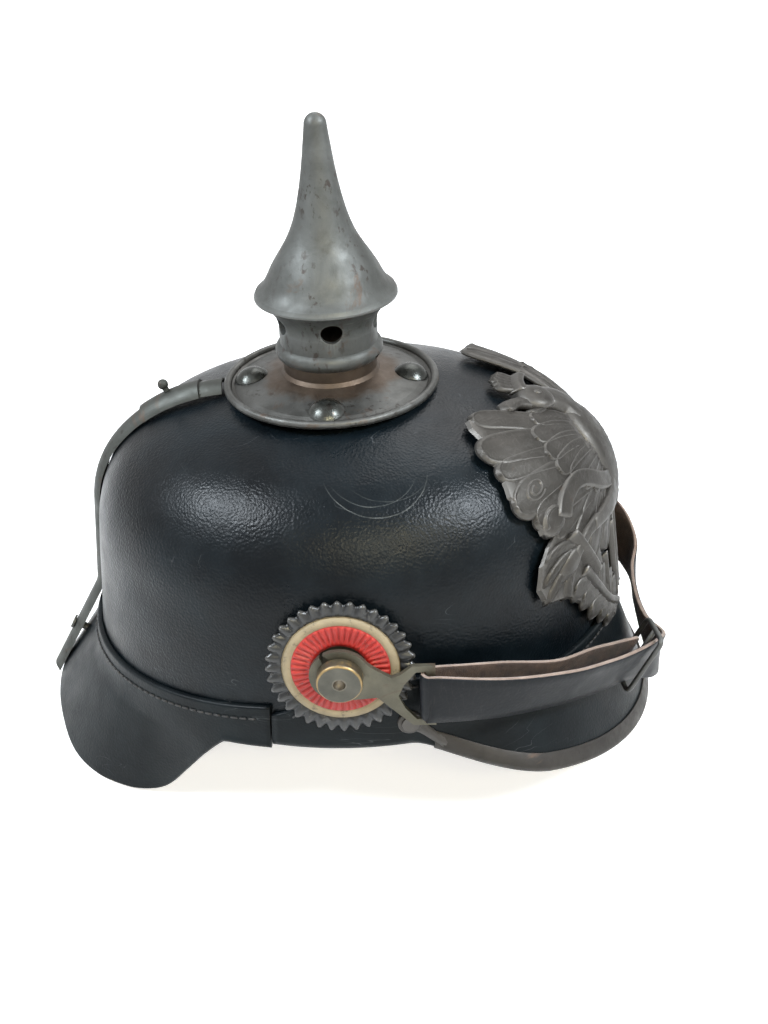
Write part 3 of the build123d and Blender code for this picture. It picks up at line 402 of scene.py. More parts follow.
def wornSteel(name, base, shade, rust=0.25, rough=0.42, metallic=0.85, dark=(0.03, 0.026, 0.023),
              stain=None, lines=0, wear=1):
    # grey steel gone dull, with darker hollows, paler edges and small rust spots
    n = Nodes(bpy.data.materials.new(name))
    cloud = n.noise(70, 6, 0.62, 0.4)
    colour = n.mix(n.rise(cloud, 0.35, 0.68), shade, base)
    speck = n.ramp(n.noise(420, 3, 0.6, 0, (1, 1, 0.6)), (0.56, 0), (0.64, 0.8))
    cluster = n.ramp(n.noise(55, 2, 0.5, 0, (1, 1, 0.5)), (0.5, 0.1), (0.6, 1))
    colour = n.mix(n.times(speck, cluster), colour, dark)
    edge = n.pointiness()
    colour = n.mix(n.ramp(edge, (0.4, 0.75 * wear), (0.495, 0)), colour, dark)
    bright = tuple(min(c * 1.5 + 0.05, 1) for c in base)
    colour = n.mix(n.ramp(edge, (0.515, 0), (0.58, 0.7 * wear)), colour, bright)
    spots = n.ramp(n.noise(46, 5, 0.7, 0.8), (0.66 - rust * 0.2, 0), (0.76 - rust * 0.2, 0.9))
    rustColour = n.mix(n.noise(300, 3), (0.045, 0.031, 0.023), (0.105, 0.066, 0.045))
    colour = n.mix(spots, colour, rustColour)
    if stain:
        # brown wash round the foot of the spike
        away = n.plus(n.ring("XY", (0, 0)), n.times(n.noise(120, 5, 0.7), 1.3))
        colour = n.mix(n.ramp(n.maths("DIVIDE", away, 10), (stain[0], 0.8), (stain[1], 0)), colour,
                       n.mix(n.noise(240, 4), (0.045, 0.031, 0.021), (0.1, 0.068, 0.046)))
    bumps = [(n.noise(900, 4, 0.6), 0.16, 0.0003), (cloud, 0.3, 0.0008)]
    if lines:
        # fine engraved strokes
        stroke = n.ramp(n.noise(210, 2, 0.4, 1.2), (0.46, 0), (0.49, 1), (0.51, 1), (0.54, 0))
        colour = n.mix(n.times(stroke, 0.1), colour, bright)
        bumps.append((stroke, lines, 0.0005))
    roughness = n.ramp(n.noise(150, 4, 0.6), (0.3, rough - 0.08), (0.7, rough + 0.14))
    return n.finish(colour, roughness, bumps, Metallic=metallic)


def paintedRing(name, paint, chip, amount=0.5, rough=0.5):
    # old enamel over tin, worn through on raised edges
    n = Nodes(bpy.data.materials.new(name))
    colour = n.mix(n.rise(n.noise(160, 5, 0.65), 0.3, 0.8), paint, tuple(c * 0.62 for c in paint))
    rubbed = n.rise(n.noise(330, 4, 0.7), 0.6, 0.66)
    worn = n.times(n.plus(rubbed, n.rise(n.pointiness(), 0.53, 0.6)), amount)
    colour = n.mix(n.maths("MINIMUM", worn, 1), colour, chip)
    roughness = n.ramp(n.noise(200, 3), (0.3, rough - 0.08), (0.7, rough + 0.12))
    return n.finish(colour, roughness, [(n.noise(700, 4, 0.6), 0.18, 0.0003)])


def brassedSteel(name):
    # dark head of a side post, its rim rubbed through to brass and its dimple bright
    n = Nodes(bpy.data.materials.new(name))
    tone = n.rise(n.noise(90, 5, 0.6), 0.35, 0.7)
    colour = n.mix(tone, (0.052, 0.051, 0.043), (0.1, 0.096, 0.08))
    away = n.ring("YZ", (shell["postY"] * mm, shell["postZ"] * mm))
    ragged = n.plus(away, n.times(n.noise(330, 4, 0.7), 0.07))
    rim = n.ramp(ragged, (0.735, 0), (0.765, 1), (0.8, 1), (0.812, 0.25))
    colour = n.mix(rim, colour, n.mix(n.noise(160, 3), (0.16, 0.105, 0.045), (0.33, 0.235, 0.11)))
    colour = n.mix(n.ramp(ragged, (0.22, 0.85), (0.3, 0)), colour, (0.19, 0.165, 0.13))
    bumps = [(n.noise(1100, 4, 0.6), 0.16, 0.0003), (n.noise(120, 4, 0.6), 0.25, 0.0006)]
    return n.finish(colour, n.ramp(n.noise(150, 4), (0.3, 0.36), (0.7, 0.52)), bumps, Metallic=0.8)


def strapOutside(name):
    # smooth blackened leather with fine creases
    n = Nodes(bpy.data.materials.new(name))
    colour = n.mix(n.noise(60, 5, 0.6), (0.0048, 0.0058, 0.0072), (0.0125, 0.0135, 0.0158))
    crease = n.ramp(n.noise(260, 3, 0.5, 0.6, (1, 1, 0.25)), (0.48, 0), (0.5, 1), (0.52, 0))
    colour = n.mix(n.times(crease, 0.1), colour, (0.06, 0.055, 0.055))
    bumps = [(n.cells(900), 0.12, 0.0004), (crease, 0.06, 0.0002)]
    rough = n.ramp(n.noise(120, 3), (0.3, 0.38), (0.7, 0.52))
    return n.finish(colour, rough, bumps, Specular_IOR_Level=0.12)


def rawLeather(name, first, second, fuzz=0.5, rough=0.85, sheen=0.25):
    # cut edges, suede and liner leather
    n = Nodes(bpy.data.materials.new(name))
    colour = n.mix(n.rise(n.noise(240, 6, 0.7), 0.3, 0.7), first, second)
    colour = n.mix(n.ramp(n.noise(40, 3), (0.4, 0), (0.75, 0.5)), colour, tuple(c * 0.45 for c in first))
    bumps = [(n.noise(1700, 5, 0.7), fuzz, 0.0006), (n.noise(150, 3), 0.3, 0.0008)]
    return n.finish(colour, rough, bumps, Sheen_Weight=sheen)


# scores on the dome: centre of the arc, radius in cm, top height, strength
scores = (((-0.05512, -0.01719, 0.1287), 1.778, 0.1268, 0.7),
          ((-0.05405, -0.01585, 0.12955), 1.546, 0.1262, 0.45),
          ((-0.05102, -0.0203, 0.12957), 1.62, 0.1256, 0.35))
skullLacquer = lacqueredLeather("skullLacquer", (0.001, 0.0021, 0.0032), (0.005, 0.0085, 0.0112),
                                scores=scores)
visorLacquer = lacqueredLeather("visorLacquer", (0.0022, 0.0036, 0.0046), (0.0075, 0.0108, 0.0125),
                                pebble=0.5, gloss=0.34, level=0.12)
insideLeather = rawLeather("insideLeather", (0.1, 0.065, 0.04), (0.17, 0.11, 0.07))
linerHide = rawLeather("linerHide", (0.3, 0.19, 0.11), (0.42, 0.28, 0.17), 0.25, 0.7)
spikeSteel = wornSteel("spikeSteel", (0.102, 0.106, 0.102), (0.062, 0.064, 0.06), 0.42, 0.54, 0.75,
                        dark=(0.035, 0.026, 0.022), wear=0.6)
studSteel = wornSteel("studSteel", (0.055, 0.058, 0.054), (0.033, 0.035, 0.032), 0.15, 0.26, 0.85, wear=0.4)
baseSteel = wornSteel("baseSteel", (0.105, 0.106, 0.102), (0.06, 0.06, 0.056), 0.45, 0.46,
                      stain=(0.29, 0.335), wear=0.7)
plateSteel = wornSteel("plateSteel", (0.05, 0.046, 0.041), (0.028, 0.0255, 0.022), 0.05, 0.48, 0.75,
                       lines=0.1)
greySteel = wornSteel("greySteel", (0.095, 0.095, 0.088), (0.055, 0.055, 0.05), 0.15, 0.48, wear=0.2)
spineSteel = wornSteel("spineSteel", (0.068, 0.072, 0.066), (0.04, 0.042, 0.038), 0.2, 0.5, 0.75, wear=0)
buckleSteel = wornSteel("buckleSteel", (0.05, 0.05, 0.048), (0.03, 0.03, 0.028), 0.1, 0.45, 0.7)
trimSteel = wornSteel("trimSteel", (0.036, 0.032, 0.028), (0.021, 0.0185, 0.0165), 0.1, 0.5, 0.6,
                      (0.02, 0.017, 0.015))
fittingSteel = wornSteel("fittingSteel", (0.105, 0.098, 0.072), (0.058, 0.054, 0.04), 0.2, 0.5, 0.7,
                         wear=0.1)
postSteel = brassedSteel("postSteel")
blackTin = paintedRing("blackTin", (0.0055, 0.006, 0.0066), (0.11, 0.105, 0.095), 0.35, 0.34)
creamTin = paintedRing("creamTin", (0.33, 0.265, 0.165), (0.06, 0.045, 0.03), 0.55, 0.6)
redTin = paintedRing("redTin", (0.4, 0.02, 0.014), (0.05, 0.018, 0.014), 0.45, 0.42)
strapSkin = strapOutside("strapSkin")
strapEdge = rawLeather("strapEdge", (0.17, 0.115, 0.09), (0.31, 0.235, 0.195), 0.5)
strapSuede = rawLeather("strapSuede", (0.02, 0.011, 0.008), (0.075, 0.043, 0.029), 1, 0.9, 0.05)
threadFlax = rawLeather("threadFlax", (0.006, 0.006, 0.006), (0.022, 0.021, 0.02), 0.3, 0.6, 0)
print("materials made")


def dress(obj, body, *nodes, slot=None):
    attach(obj, body)
    if nodes:
        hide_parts(*nodes)
    return obj


# leather skull


def skullOutline(degrees):
    low = rimUnder(degrees)
    outer, inner = meridian(0, low), meridian(-shell["leather"], low)
    lip = shell["leather"] * 0.15
    middle = ((outer[0][0] + inner[0][0]) / 2, low - 0.4)
    return inner[::-1] + [(inner[0][0] + lip, low - 0.25), middle, (outer[0][0] - lip, low - 0.25)] + outer


def buildSkull():
    insideCols = len(skullOutline(0)) // 2 - 2
    obj = sweptShell("leatherSkull", range(0, 360, 2), skullOutline, [skullLacquer, insideLeather],
                     wrap=True, closed=False, pick=lambda j: 1 if j < insideCols else 0)
    for v in obj.data.vertices:
        p = v.co / mm
        away = Vector((p.x, p.y - shell["centreY"], max(p.z - shell["upright"], 0))).normalized()
        v.co += away * (noise.noise(p * shell["grain"]) * shell["wander"] * mm)
    return dress(obj, "shell", "leather_skull", slot="skull_leather")


# front visor and its metal edge
visor = {
    "reach": 18,
    "fullAngle": 52,
    "endAngle": 77,
    "flangeEnd": 104,
    "leather": 2.2,
    "flangeFront": 11,
    "flangeSide": 25,
    "lip": 2.6,
    "lipDrop": 1.2,
    "trimSheet": 0.6,
    "trimWidth": 6.5,
    "trimUnder": 4,
    "tabAngle": 77.5,
}


def visorEdge(degrees):
    angle = abs(degrees)
    end = cos(radians(visor["endAngle"]))
    drop = max(cos(radians(angle)) - end, 0) / (1 - end)
    share = 1 - smooth(visor["fullAngle"], visor["endAngle"], angle)
    z = (shell["rim"] - visor["lipDrop"]) * (1 - drop) + visor["lipDrop"]
    return shell["halfLength"] + visor["lip"] + (visor["reach"] - visor["lip"]) * share, z


def visorFlange(degrees):
    angle = abs(degrees)
    raised = smooth(visor["fullAngle"], visor["endAngle"], angle)
    closing = smooth((visor["endAngle"] + visor["flangeEnd"]) / 2, visor["flangeEnd"], angle)
    span = visor["flangeSide"] - visor["flangeFront"]
    return shell["rim"] + visor["flangeFront"] + span * raised * (1 - closing)


def visorCorners(degrees):
    edgeR, edgeZ = visorEdge(degrees)
    top, bend, t = visorFlange(degrees), shell["rim"], visor["leather"]
    topR, bendR = wallRadius(top), wallRadius(bend)
    runR, runZ = edgeR - bendR, bend - edgeZ + visor["lipDrop"]
    run = hypot(runR, runZ)
    acrossR, acrossZ = runZ / run * t, runR / run * t
    gap = shell["gap"]
    return [(topR + gap, top), (bendR + gap, bend), (edgeR - acrossR, edgeZ - acrossZ), (edgeR, edgeZ),
            (bendR + gap + t, bend + acrossZ), (topR + t, top)]


def visorOutline(degrees):
    return rounded(visorCorners(degrees), [0.5, 3.5, 0.8, 0.8, 6, 1.2])


def insidePick(j):
    # the run between an outline's second and third corners is the bare inside
    return 1 if 6 <= j < 14 else 0


def buildVisor():
    span = visor["flangeEnd"]
    angles = [-span + 2 * span * i / 156 for i in range(157)]
    obj = sweptShell("frontVisor", angles, visorOutline, [visorLacquer, insideLeather], pick=insidePick)
    return dress(obj, "shell", "front_visor", slot="visor_leather")


def outsideAt(corners, z):
    # radius of a visor or guard outline's outer side at a height
    path = corners[3:]
    for (r0, z0), (r1, z1) in zip(path, path[1:]):
        if z <= z1:
            t = max((z - z0) / (z1 - z0), 0)
            return r0 + (r1 - r0) * t
    return path[-1][0]


def unit(a, b):
    run = dist(a, b)
    return (b[0] - a[0]) / run, (b[1] - a[1]) / run


# channel of the trim, and the arms that run up over the flange to a riveted tab on each side
trim = {
    "end": 73,
    "steps": 146,
    "armStart": 57,
    "armSteps": 24,
    "armLow": 45.8,
    "armDepth": 4.6,
    "tabHeight": 49,
    "tabOut": 2.75,
    "tabSides": 32,
    "tabRings": ((4.4, -0.4), (4.4, 0.45), (3.9, 0.8), (2.2, 0.75), (0.01, 0.75)),
}


def trimOutline(degrees):
    corners = visorCorners(degrees)
    upper = unit(corners[4], corners[3])
    lower = unit(corners[1], corners[2])

    def off(corner, run, back, lift):
        return corner[0] - run[0] * back - run[1] * lift, corner[1] - run[1] * back + run[0] * lift

    near, far = shell["gap"] * 0.8, shell["gap"] + visor["trimSheet"]
    w, u = visor["trimWidth"], visor["trimUnder"]
    points = [off(corners[3], upper, *place) for place in ((w, far), (w * 0.5, far + 0.25), (-far, far))]
    for back, lift in ((-far, far), (u, far), (u, near), (-near, near)):
        points.append(off(corners[2], lower, back, -lift))
    points += [off(corners[3], upper, back, near) for back in (-near, w)]
    return rounded(points, [0.3, 1.5, 1.4, 1.4, 0.3, 0.2, 0.5, 0.5, 0.2], 4)


def armRow(side, t):
    # outline of an arm's section at a share of its way up
    angle = trim["armStart"] + (visor["tabAngle"] - trim["armStart"]) * t
    rise = smooth(0.7, 1, t)
    low = (visorEdge(min(angle, trim["end"]))[1] + 0.9) * (1 - rise) + trim["armLow"] * rise
    high = low + trim["armDepth"] + 1.2 * rise
    corners = visorCorners(angle)
    out = 1.25 * smooth(0.2, 0.75, t) - 0.55
    r0, r1 = outsideAt(corners, low) + 0.15, outsideAt(corners, high) + 0.15
    section = [(r0 - 0.8, low), (r0 + out, low), ((r0 + r1) / 2 + out + 0.2, (low + high) / 2),
               (r1 + out, high), (r1 - 0.8, high)]
    return [inPlace(r, side * angle, z) for r, z in section]


def tabDisc(side):
    # round tab end, domed at its rim
    centre = Vector(inPlace(wallRadius(trim["tabHeight"]) + trim["tabOut"], side * visor["tabAngle"],
                            trim["tabHeight"]))
    out = Vector((side, -0.15, 0.09)).normalized()
    across, up = facing(out)
    verts = []
    for r, z in trim["tabRings"]:
        for i in range(trim["tabSides"]):
            a = 2 * pi * i / trim["tabSides"]
            verts.append(tuple(centre + (across * cos(a) + up * sin(a)) * r + out * z))
    return verts, gridFaces(len(trim["tabRings"]), trim["tabSides"], False, True)


def buildTrim():
    angles = [-trim["end"] + 2 * trim["end"] * i / trim["steps"] for i in range(trim["steps"] + 1)]
    channel = sweptShell("visorTrimChannel", angles, trimOutline, [trimSteel])
    dress(channel, "shell", "visor_trim", slot="trim_steel")
    parts = []
    steps = trim["armSteps"]
    for side in (-1, 1):
        rows = [armRow(side, i / steps) for i in range(steps + 1)]
        parts.append(([p for row in rows for p in row], gridFaces(steps + 1, 5, False, True, caps=True)))
        parts.append(tabDisc(side))
    return dress(joined("visorTrimTabs", parts, [trimSteel]), "shell", slot="trim_steel")


# neck guard
guard = {
    "reach": 25,
    "leather": 2.2,
    "flange": 9,
    "endRise": 6,
    "end": 75.6,
    # angle from the rear, reach share, height share
    "edge": ((-8, 0.945, 0.15), (0, 0.95, 0.17), (8, 0.945, 0.15), (18, 0.92, 0.1), (28, 0.9, 0.03),
             (36, 0.78, 0.005), (43, 0.55, 0), (49, 0.28, 0.08), (55, 0.16, 0.38), (61, 0.17, 0.69),
             (67, 0.15, 0.93), (80, 0.12, 1), (80, 0.12, 1)),
}


def guardEdge(degrees):
    rows = guard["edge"]
    angle = abs(degrees)
    i = max(k for k in range(1, len(rows) - 2) if rows[k][0] <= angle)
    t = (angle - rows[i][0]) / (rows[i + 1][0] - rows[i][0])
    reach, rise = (between(*column, t) for column in list(zip(*rows[i - 1:i + 3]))[1:])
    return reach * guard["reach"], max(rise, 0) * shell["rim"]


def guardCorners(degrees):
    reach, low = guardEdge(degrees)
    bend = rimUnder(180 - degrees)
    top = bend + guard["flange"] + guard["endRise"] * (abs(degrees) / guard["end"]) ** 2
    low = min(low, bend - 2 * visor["lipDrop"])
    t = guard["leather"]
    bendR, edgeR = wallRadius(bend) + shell["gap"], shell["halfLength"] + reach
    runR, runZ = edgeR - bendR, bend - low
    run = hypot(runR, runZ)
    acrossR, acrossZ = runZ / run * t, runR / run * t
    topR = wallRadius(top) + shell["gap"]
    return [(topR, top), (bendR, bend), (edgeR - acrossR, low), (edgeR, low + acrossZ),
            (bendR + t, bend + acrossZ), (topR + t, top)]


def guardOutline(degrees):
    return rounded(guardCorners(degrees), [0.5, 3.5, 1, 1, 6, 1.2])


def buildGuard():
    angles = [180 + guard["end"] * (1 - i / 75) for i in range(151)]
    obj = sweptShell("neckGuard", angles, lambda a: guardOutline(180 - a), [visorLacquer, insideLeather],
                     pick=insidePick)
    return dress(obj, "shell", "neck_guard", slot="visor_leather")


stitch = {
    "pitch": 1.9,
    "ends": (0.14, 0.86),
    "radius": 0.38,
    "lift": 0.12,
    "bow": 1.0018,
    # span to either side in degrees and drop below the flange's edge
    "visor": (100, 3.2),
    "guard": (73, 4.6),
}


def buildStitches():
    # short threads along both flanges
    parts = []
    for corners, (span, drop) in ((visorCorners, stitch["visor"]), (guardCorners, stitch["guard"])):
        count = int(span * 2 / stitch["pitch"])
        for i in range(count):
            ends = []
            for k in stitch["ends"]:
                angle = -span + 2 * span * (i + k) / count
                points = corners(angle)
                height = points[5][1] - drop
                turn = angle if corners is visorCorners else 180 - angle
                ends.append(inPlace(outsideAt(points, height) + stitch["lift"], turn, height))
            x, y, z = ((a + b) / 2 for a, b in zip(*ends))
            middle = (x * stitch["bow"], y * stitch["bow"], z)
            parts.append(tubePart([ends[0], middle, ends[1]], stitch["radius"], 6))
    return dress(joined("flangeStitches", parts, [threadFlax]), "shell", slot="visor_leather")


print("building the leather shell")
buildSkull()
buildVisor()
buildTrim()
buildGuard()
buildStitches()

# chin strap, its right half from the fold to the front: places in mm and outward lean of its top
strap = {
    "width": 19,
    "leather": 1.9,
    "outer": ((-97.55, -34.6, 64.65, 0), (-89.6, -59.5, 58.6, 10), (-78.3, -82, 53.3, 18),
              (-66, -97.1, 48, 20), (-51.5, -113.85, 44.1, 18), (-34.1, -123, 34, 2),
              (-17.3, -122.3, 29.9, -8), (0, -121.5, 29.2, -11)),
    "inner": ((-91.9, -34.6, 64.65, 0), (-84.2, -54.9, 60.5, 5), (-73.9, -76.1, 53.7, 12),
              (-62.8, -91.6, 50.8, 16), (-49.6, -107.6, 45, 18)),
    "outerSteps": 120,
    "innerSteps": 40,
    "foldSteps": 10,
    # grain and depth of its slow wander
    "grain": 0.05,
    "wander": 0.35,
}


def leaningFrame(along, out, lean):
    # directions up and out of a band that runs along, its top leaning outward by some degrees
    tilt = radians(lean)
    up = Vector((0, 0, cos(tilt))) + out * sin(tilt)
    up = (up - along * up.dot(along)).normalized()
    return up, (out - along * out.dot(along) - up * out.dot(up)).normalized()


def bandRow(centre, up, face, soft=1):
    # section of the band: columns 0 to 6 outside, 7 to 9 edge, 10 to 16 inside, 17 to 19 edge
    half, thick = strap["width"] / 2, strap["leather"] / 2
    row = []
    for sign, inset, bulge in ((1, 0.5, 0.12), (-1, 0.4, -0.05)):
        for k in range(7):
            s = sign * (1 - k / 3)
            out = sign * (thick + soft * bulge * (1 - s * s))
            row.append(centre + up * s * (half - inset) + face * out)
        for s in (-0.6, 0, 0.6):
            row.append(centre - (up * (half - soft * 0.1 * abs(s)) + face * thick * s) * sign)
    return [tuple(p) for p in row]


def bandRows(places, steps):
    line = smoothLine(places, steps)
    rows = []
    for i, (x, y, z, lean) in enumerate(line):
        along = (Vector(line[min(i + 1, steps)][:3]) - Vector(line[max(i - 1, 0)][:3])).normalized()
        out = Vector((along.y, -along.x, 0)).normalized()
        if out.x * x + out.y * y < 0:
            out = -out
        up, face = leaningFrame(along, out, lean)
        centre = Vector((x, y, z))
        centre = centre + face * (noise.noise(centre * strap["grain"]) * strap["wander"])
        rows.append(bandRow(centre, up, face))
    return rows


def foldRows(side):
    # half turn from the outer band to the doubled end
    ox, oy, oz, _ = strap["outer"][0]
    ix = strap["inner"][0][0]
    rows = []
    for k in range(strap["foldSteps"] + 1):
        a = pi * k / strap["foldSteps"]
        face = Vector((side * cos(a), sin(a), 0))
        centre = Vector((-side * (ox + ix) / 2, oy, oz)) + face * (abs(ox - ix) / 2)
        rows.append(bandRow(centre, Vector((0, 0, 1)), face, 0))
    return rows


def strapPick(j):
    # outside, cut edge or suede
    if j < 7 or j == 19:
        return 0
    return 2 if 8 < j < 17 else 1


def onSide(places, side):
    return [(-side * x, y, z, lean) for x, y, z, lean in places]


def buildStrap():
    verts, faces, chosen = [], [], []

    def addBand(rows, flip=False, freeEnd=False):
        base = len(verts)
        cols = len(rows[0])
        verts.extend(p for row in rows for p in row)
        new = gridFaces(len(rows), cols, False, True, base=base)
        if freeEnd:
            new.append(tuple(range(base + (len(rows) - 1) * cols, base + len(rows) * cols))[::-1])
        faces.extend(new)
        picked = [strapPick((f[0] - base) % cols) if len(f) == 4 else 1 for f in new]
        chosen.extend([2 - k if flip else k for k in picked])

    outer = onSide(strap["outer"], -1) + onSide(strap["outer"][-2::-1], 1)
    outerRows = bandRows(outer, strap["outerSteps"])
    addBand(outerRows)
    for side in (-1, 1):
        rows = bandRows(onSide(strap["inner"], side), strap["innerSteps"])
        addBand(rows, True, True)
        # both ends of the fold run into the bands
        bent = foldRows(side)
        bent[0] = outerRows[0 if side < 0 else -1]
        bent[-1] = [rows[0][(16 - j) % 20] for j in range(20)]
        addBand(bent)
    obj = makeMesh("chinStrap", verts, faces, [strapSkin, strapEdge, strapSuede], chosen)
    return dress(obj, "strap", "chin_strap", slot="strap_leather")


buckle = {
    "halfDepth": 7,
    "halfHeight": 12.5,
    "corner": 2.2,
    "inward": 2.45,
    "turn": 35,
    "wire": 1,
    "bar": 0.95,
}


def buildBuckle(side, name, node):
    # a frame of wire with a centre bar, round the band at its fifth place
    rows = onSide(strap["outer"], side)
    along = (Vector(rows[5][:3]) - Vector(rows[3][:3])).normalized()
    out = Vector((side * abs(along.y), -abs(along.x), 0)).normalized()
    up, outward = leaningFrame(along, out, rows[4][3])
    centre = Vector(rows[4][:3]) - outward * buckle["inward"]
    turn = radians(buckle["turn"])
    front = outward * cos(turn) - along * sin(turn)
    high, corner = buckle["halfHeight"], buckle["corner"]
    path = []
    for quarter, cx, cy in ((0, 1, 1), (90, -1, 1), (180, -1, -1), (270, 1, -1)):
        for k in range(7):
            a = radians(quarter + 15 * k)
            path.append(tuple(centre + front * (cx * (buckle["halfDepth"] - corner) + corner * cos(a))
                              + up * (cy * (high - corner) + corner * sin(a))))
    bar = [tuple(centre + up * b) for b in (-high, -4, 4, high)]
    parts = [tubePart(path, buckle["wire"], 12, True), tubePart(bar, buckle["bar"], 12)]
    return dress(joined(name, parts, [buckleSteel]), "strap", node, slot="fitting_steel")


print("building the strap")
buildStrap()
buildBuckle(-1, "buckleRight", "buckle_right")
buildBuckle(1, "buckleLeft", "buckle_left")

# cockades, by the rings of each coat: radius and height above the back
cockade = {
    "plane": 90,
    "lean": radians(5.5),
    "flutes": 36,
    "notch": 1.5,
    "ribs": 44,
    "rings": {
        "black": ((25.5, 0.75), (24.6, 1.15), (22, 1.25), (20.3, 1.3), (20, 0.85)),
        "cream": ((19.7, 0.9), (19.4, 1.75), (18, 1.8), (17, 1.75), (16.8, 1.5)),
        "red": ((16.5, 1.9), (15.9, 2.3), (13.5, 2.3), (11.8, 2.2), (10.6, 2.35), (9.4, 2.2)),
        "hub": ((9.1, 1.2), (7.6, 1.1), (5, 1.1)),
    },
}


def buildCockade(side, name, node, heart):
    steps = cockade["flutes"] * 8
    lean = cockade["lean"]
    centre = Vector((side * cockade["plane"], shell["postY"], shell["postZ"]))
    out = Vector((side * cos(lean), 0, sin(lean)))
    up = Vector((-side * sin(lean), 0, cos(lean)))
    across = up.cross(out)
    coats = list(cockade["rings"])
    rings = [(*place, coat) for coat in coats for place in cockade["rings"][coat]]
    # the flat back first, then the front
    rows = [(r, 0, coat, 0) for r, z, coat in (rings[-1], rings[0])] + [(*ring, 1) for ring in rings]
    verts = []
    for r, z, coat, front in rows:
        for i in range(steps):
            a = 2 * pi * i / steps
            radius, height = r, z
            if coat == "black":
                wave = 0.5 - 0.5 * cos(cockade["flutes"] * a)
                radius = r - cockade["notch"] * wave * smooth(20, 25, r)
                flute = 0.95 * abs(cos(cockade["flutes"] * a / 2)) - 0.6
                height = z + flute * smooth(19.9, 21.5, r) * front
            if coat == "red" and 11.3 < r < 16.2:
                height = z - 0.75 * (0.5 + 0.5 * cos(cockade["ribs"] * a)) ** 2
            verts.append(tuple(centre + (across * cos(a) + up * sin(a)) * radius + out * max(height, 0)))
    faces = gridFaces(len(rows), steps, False, True)
    kinds = [coats.index(rows[f[0] // steps + 1][2]) if f[0] >= steps else 3 for f in faces]
    obj = makeMesh(name, verts, faces, [blackTin, creamTin, heart, fittingSteel], kinds)
    return dress(obj, "shell", node, slot="cockade_paint")


print("building the cockades")
buildCockade(-1, "cockadeRight", "cockade_right", redTin)
buildCockade(1, "cockadeLeft", "cockade_left", blackTin)


def spiral(centre, radii, shrink, turn, start, steps):
    # line that curls inward round a centre
    points = []
    for k in range(steps + 1):
        size, a = 1 - shrink * k / steps, k / steps * turn + start
        points.append((centre[0] + radii[0] * size * cos(a), centre[1] + radii[1] * size * sin(a)))
    return points


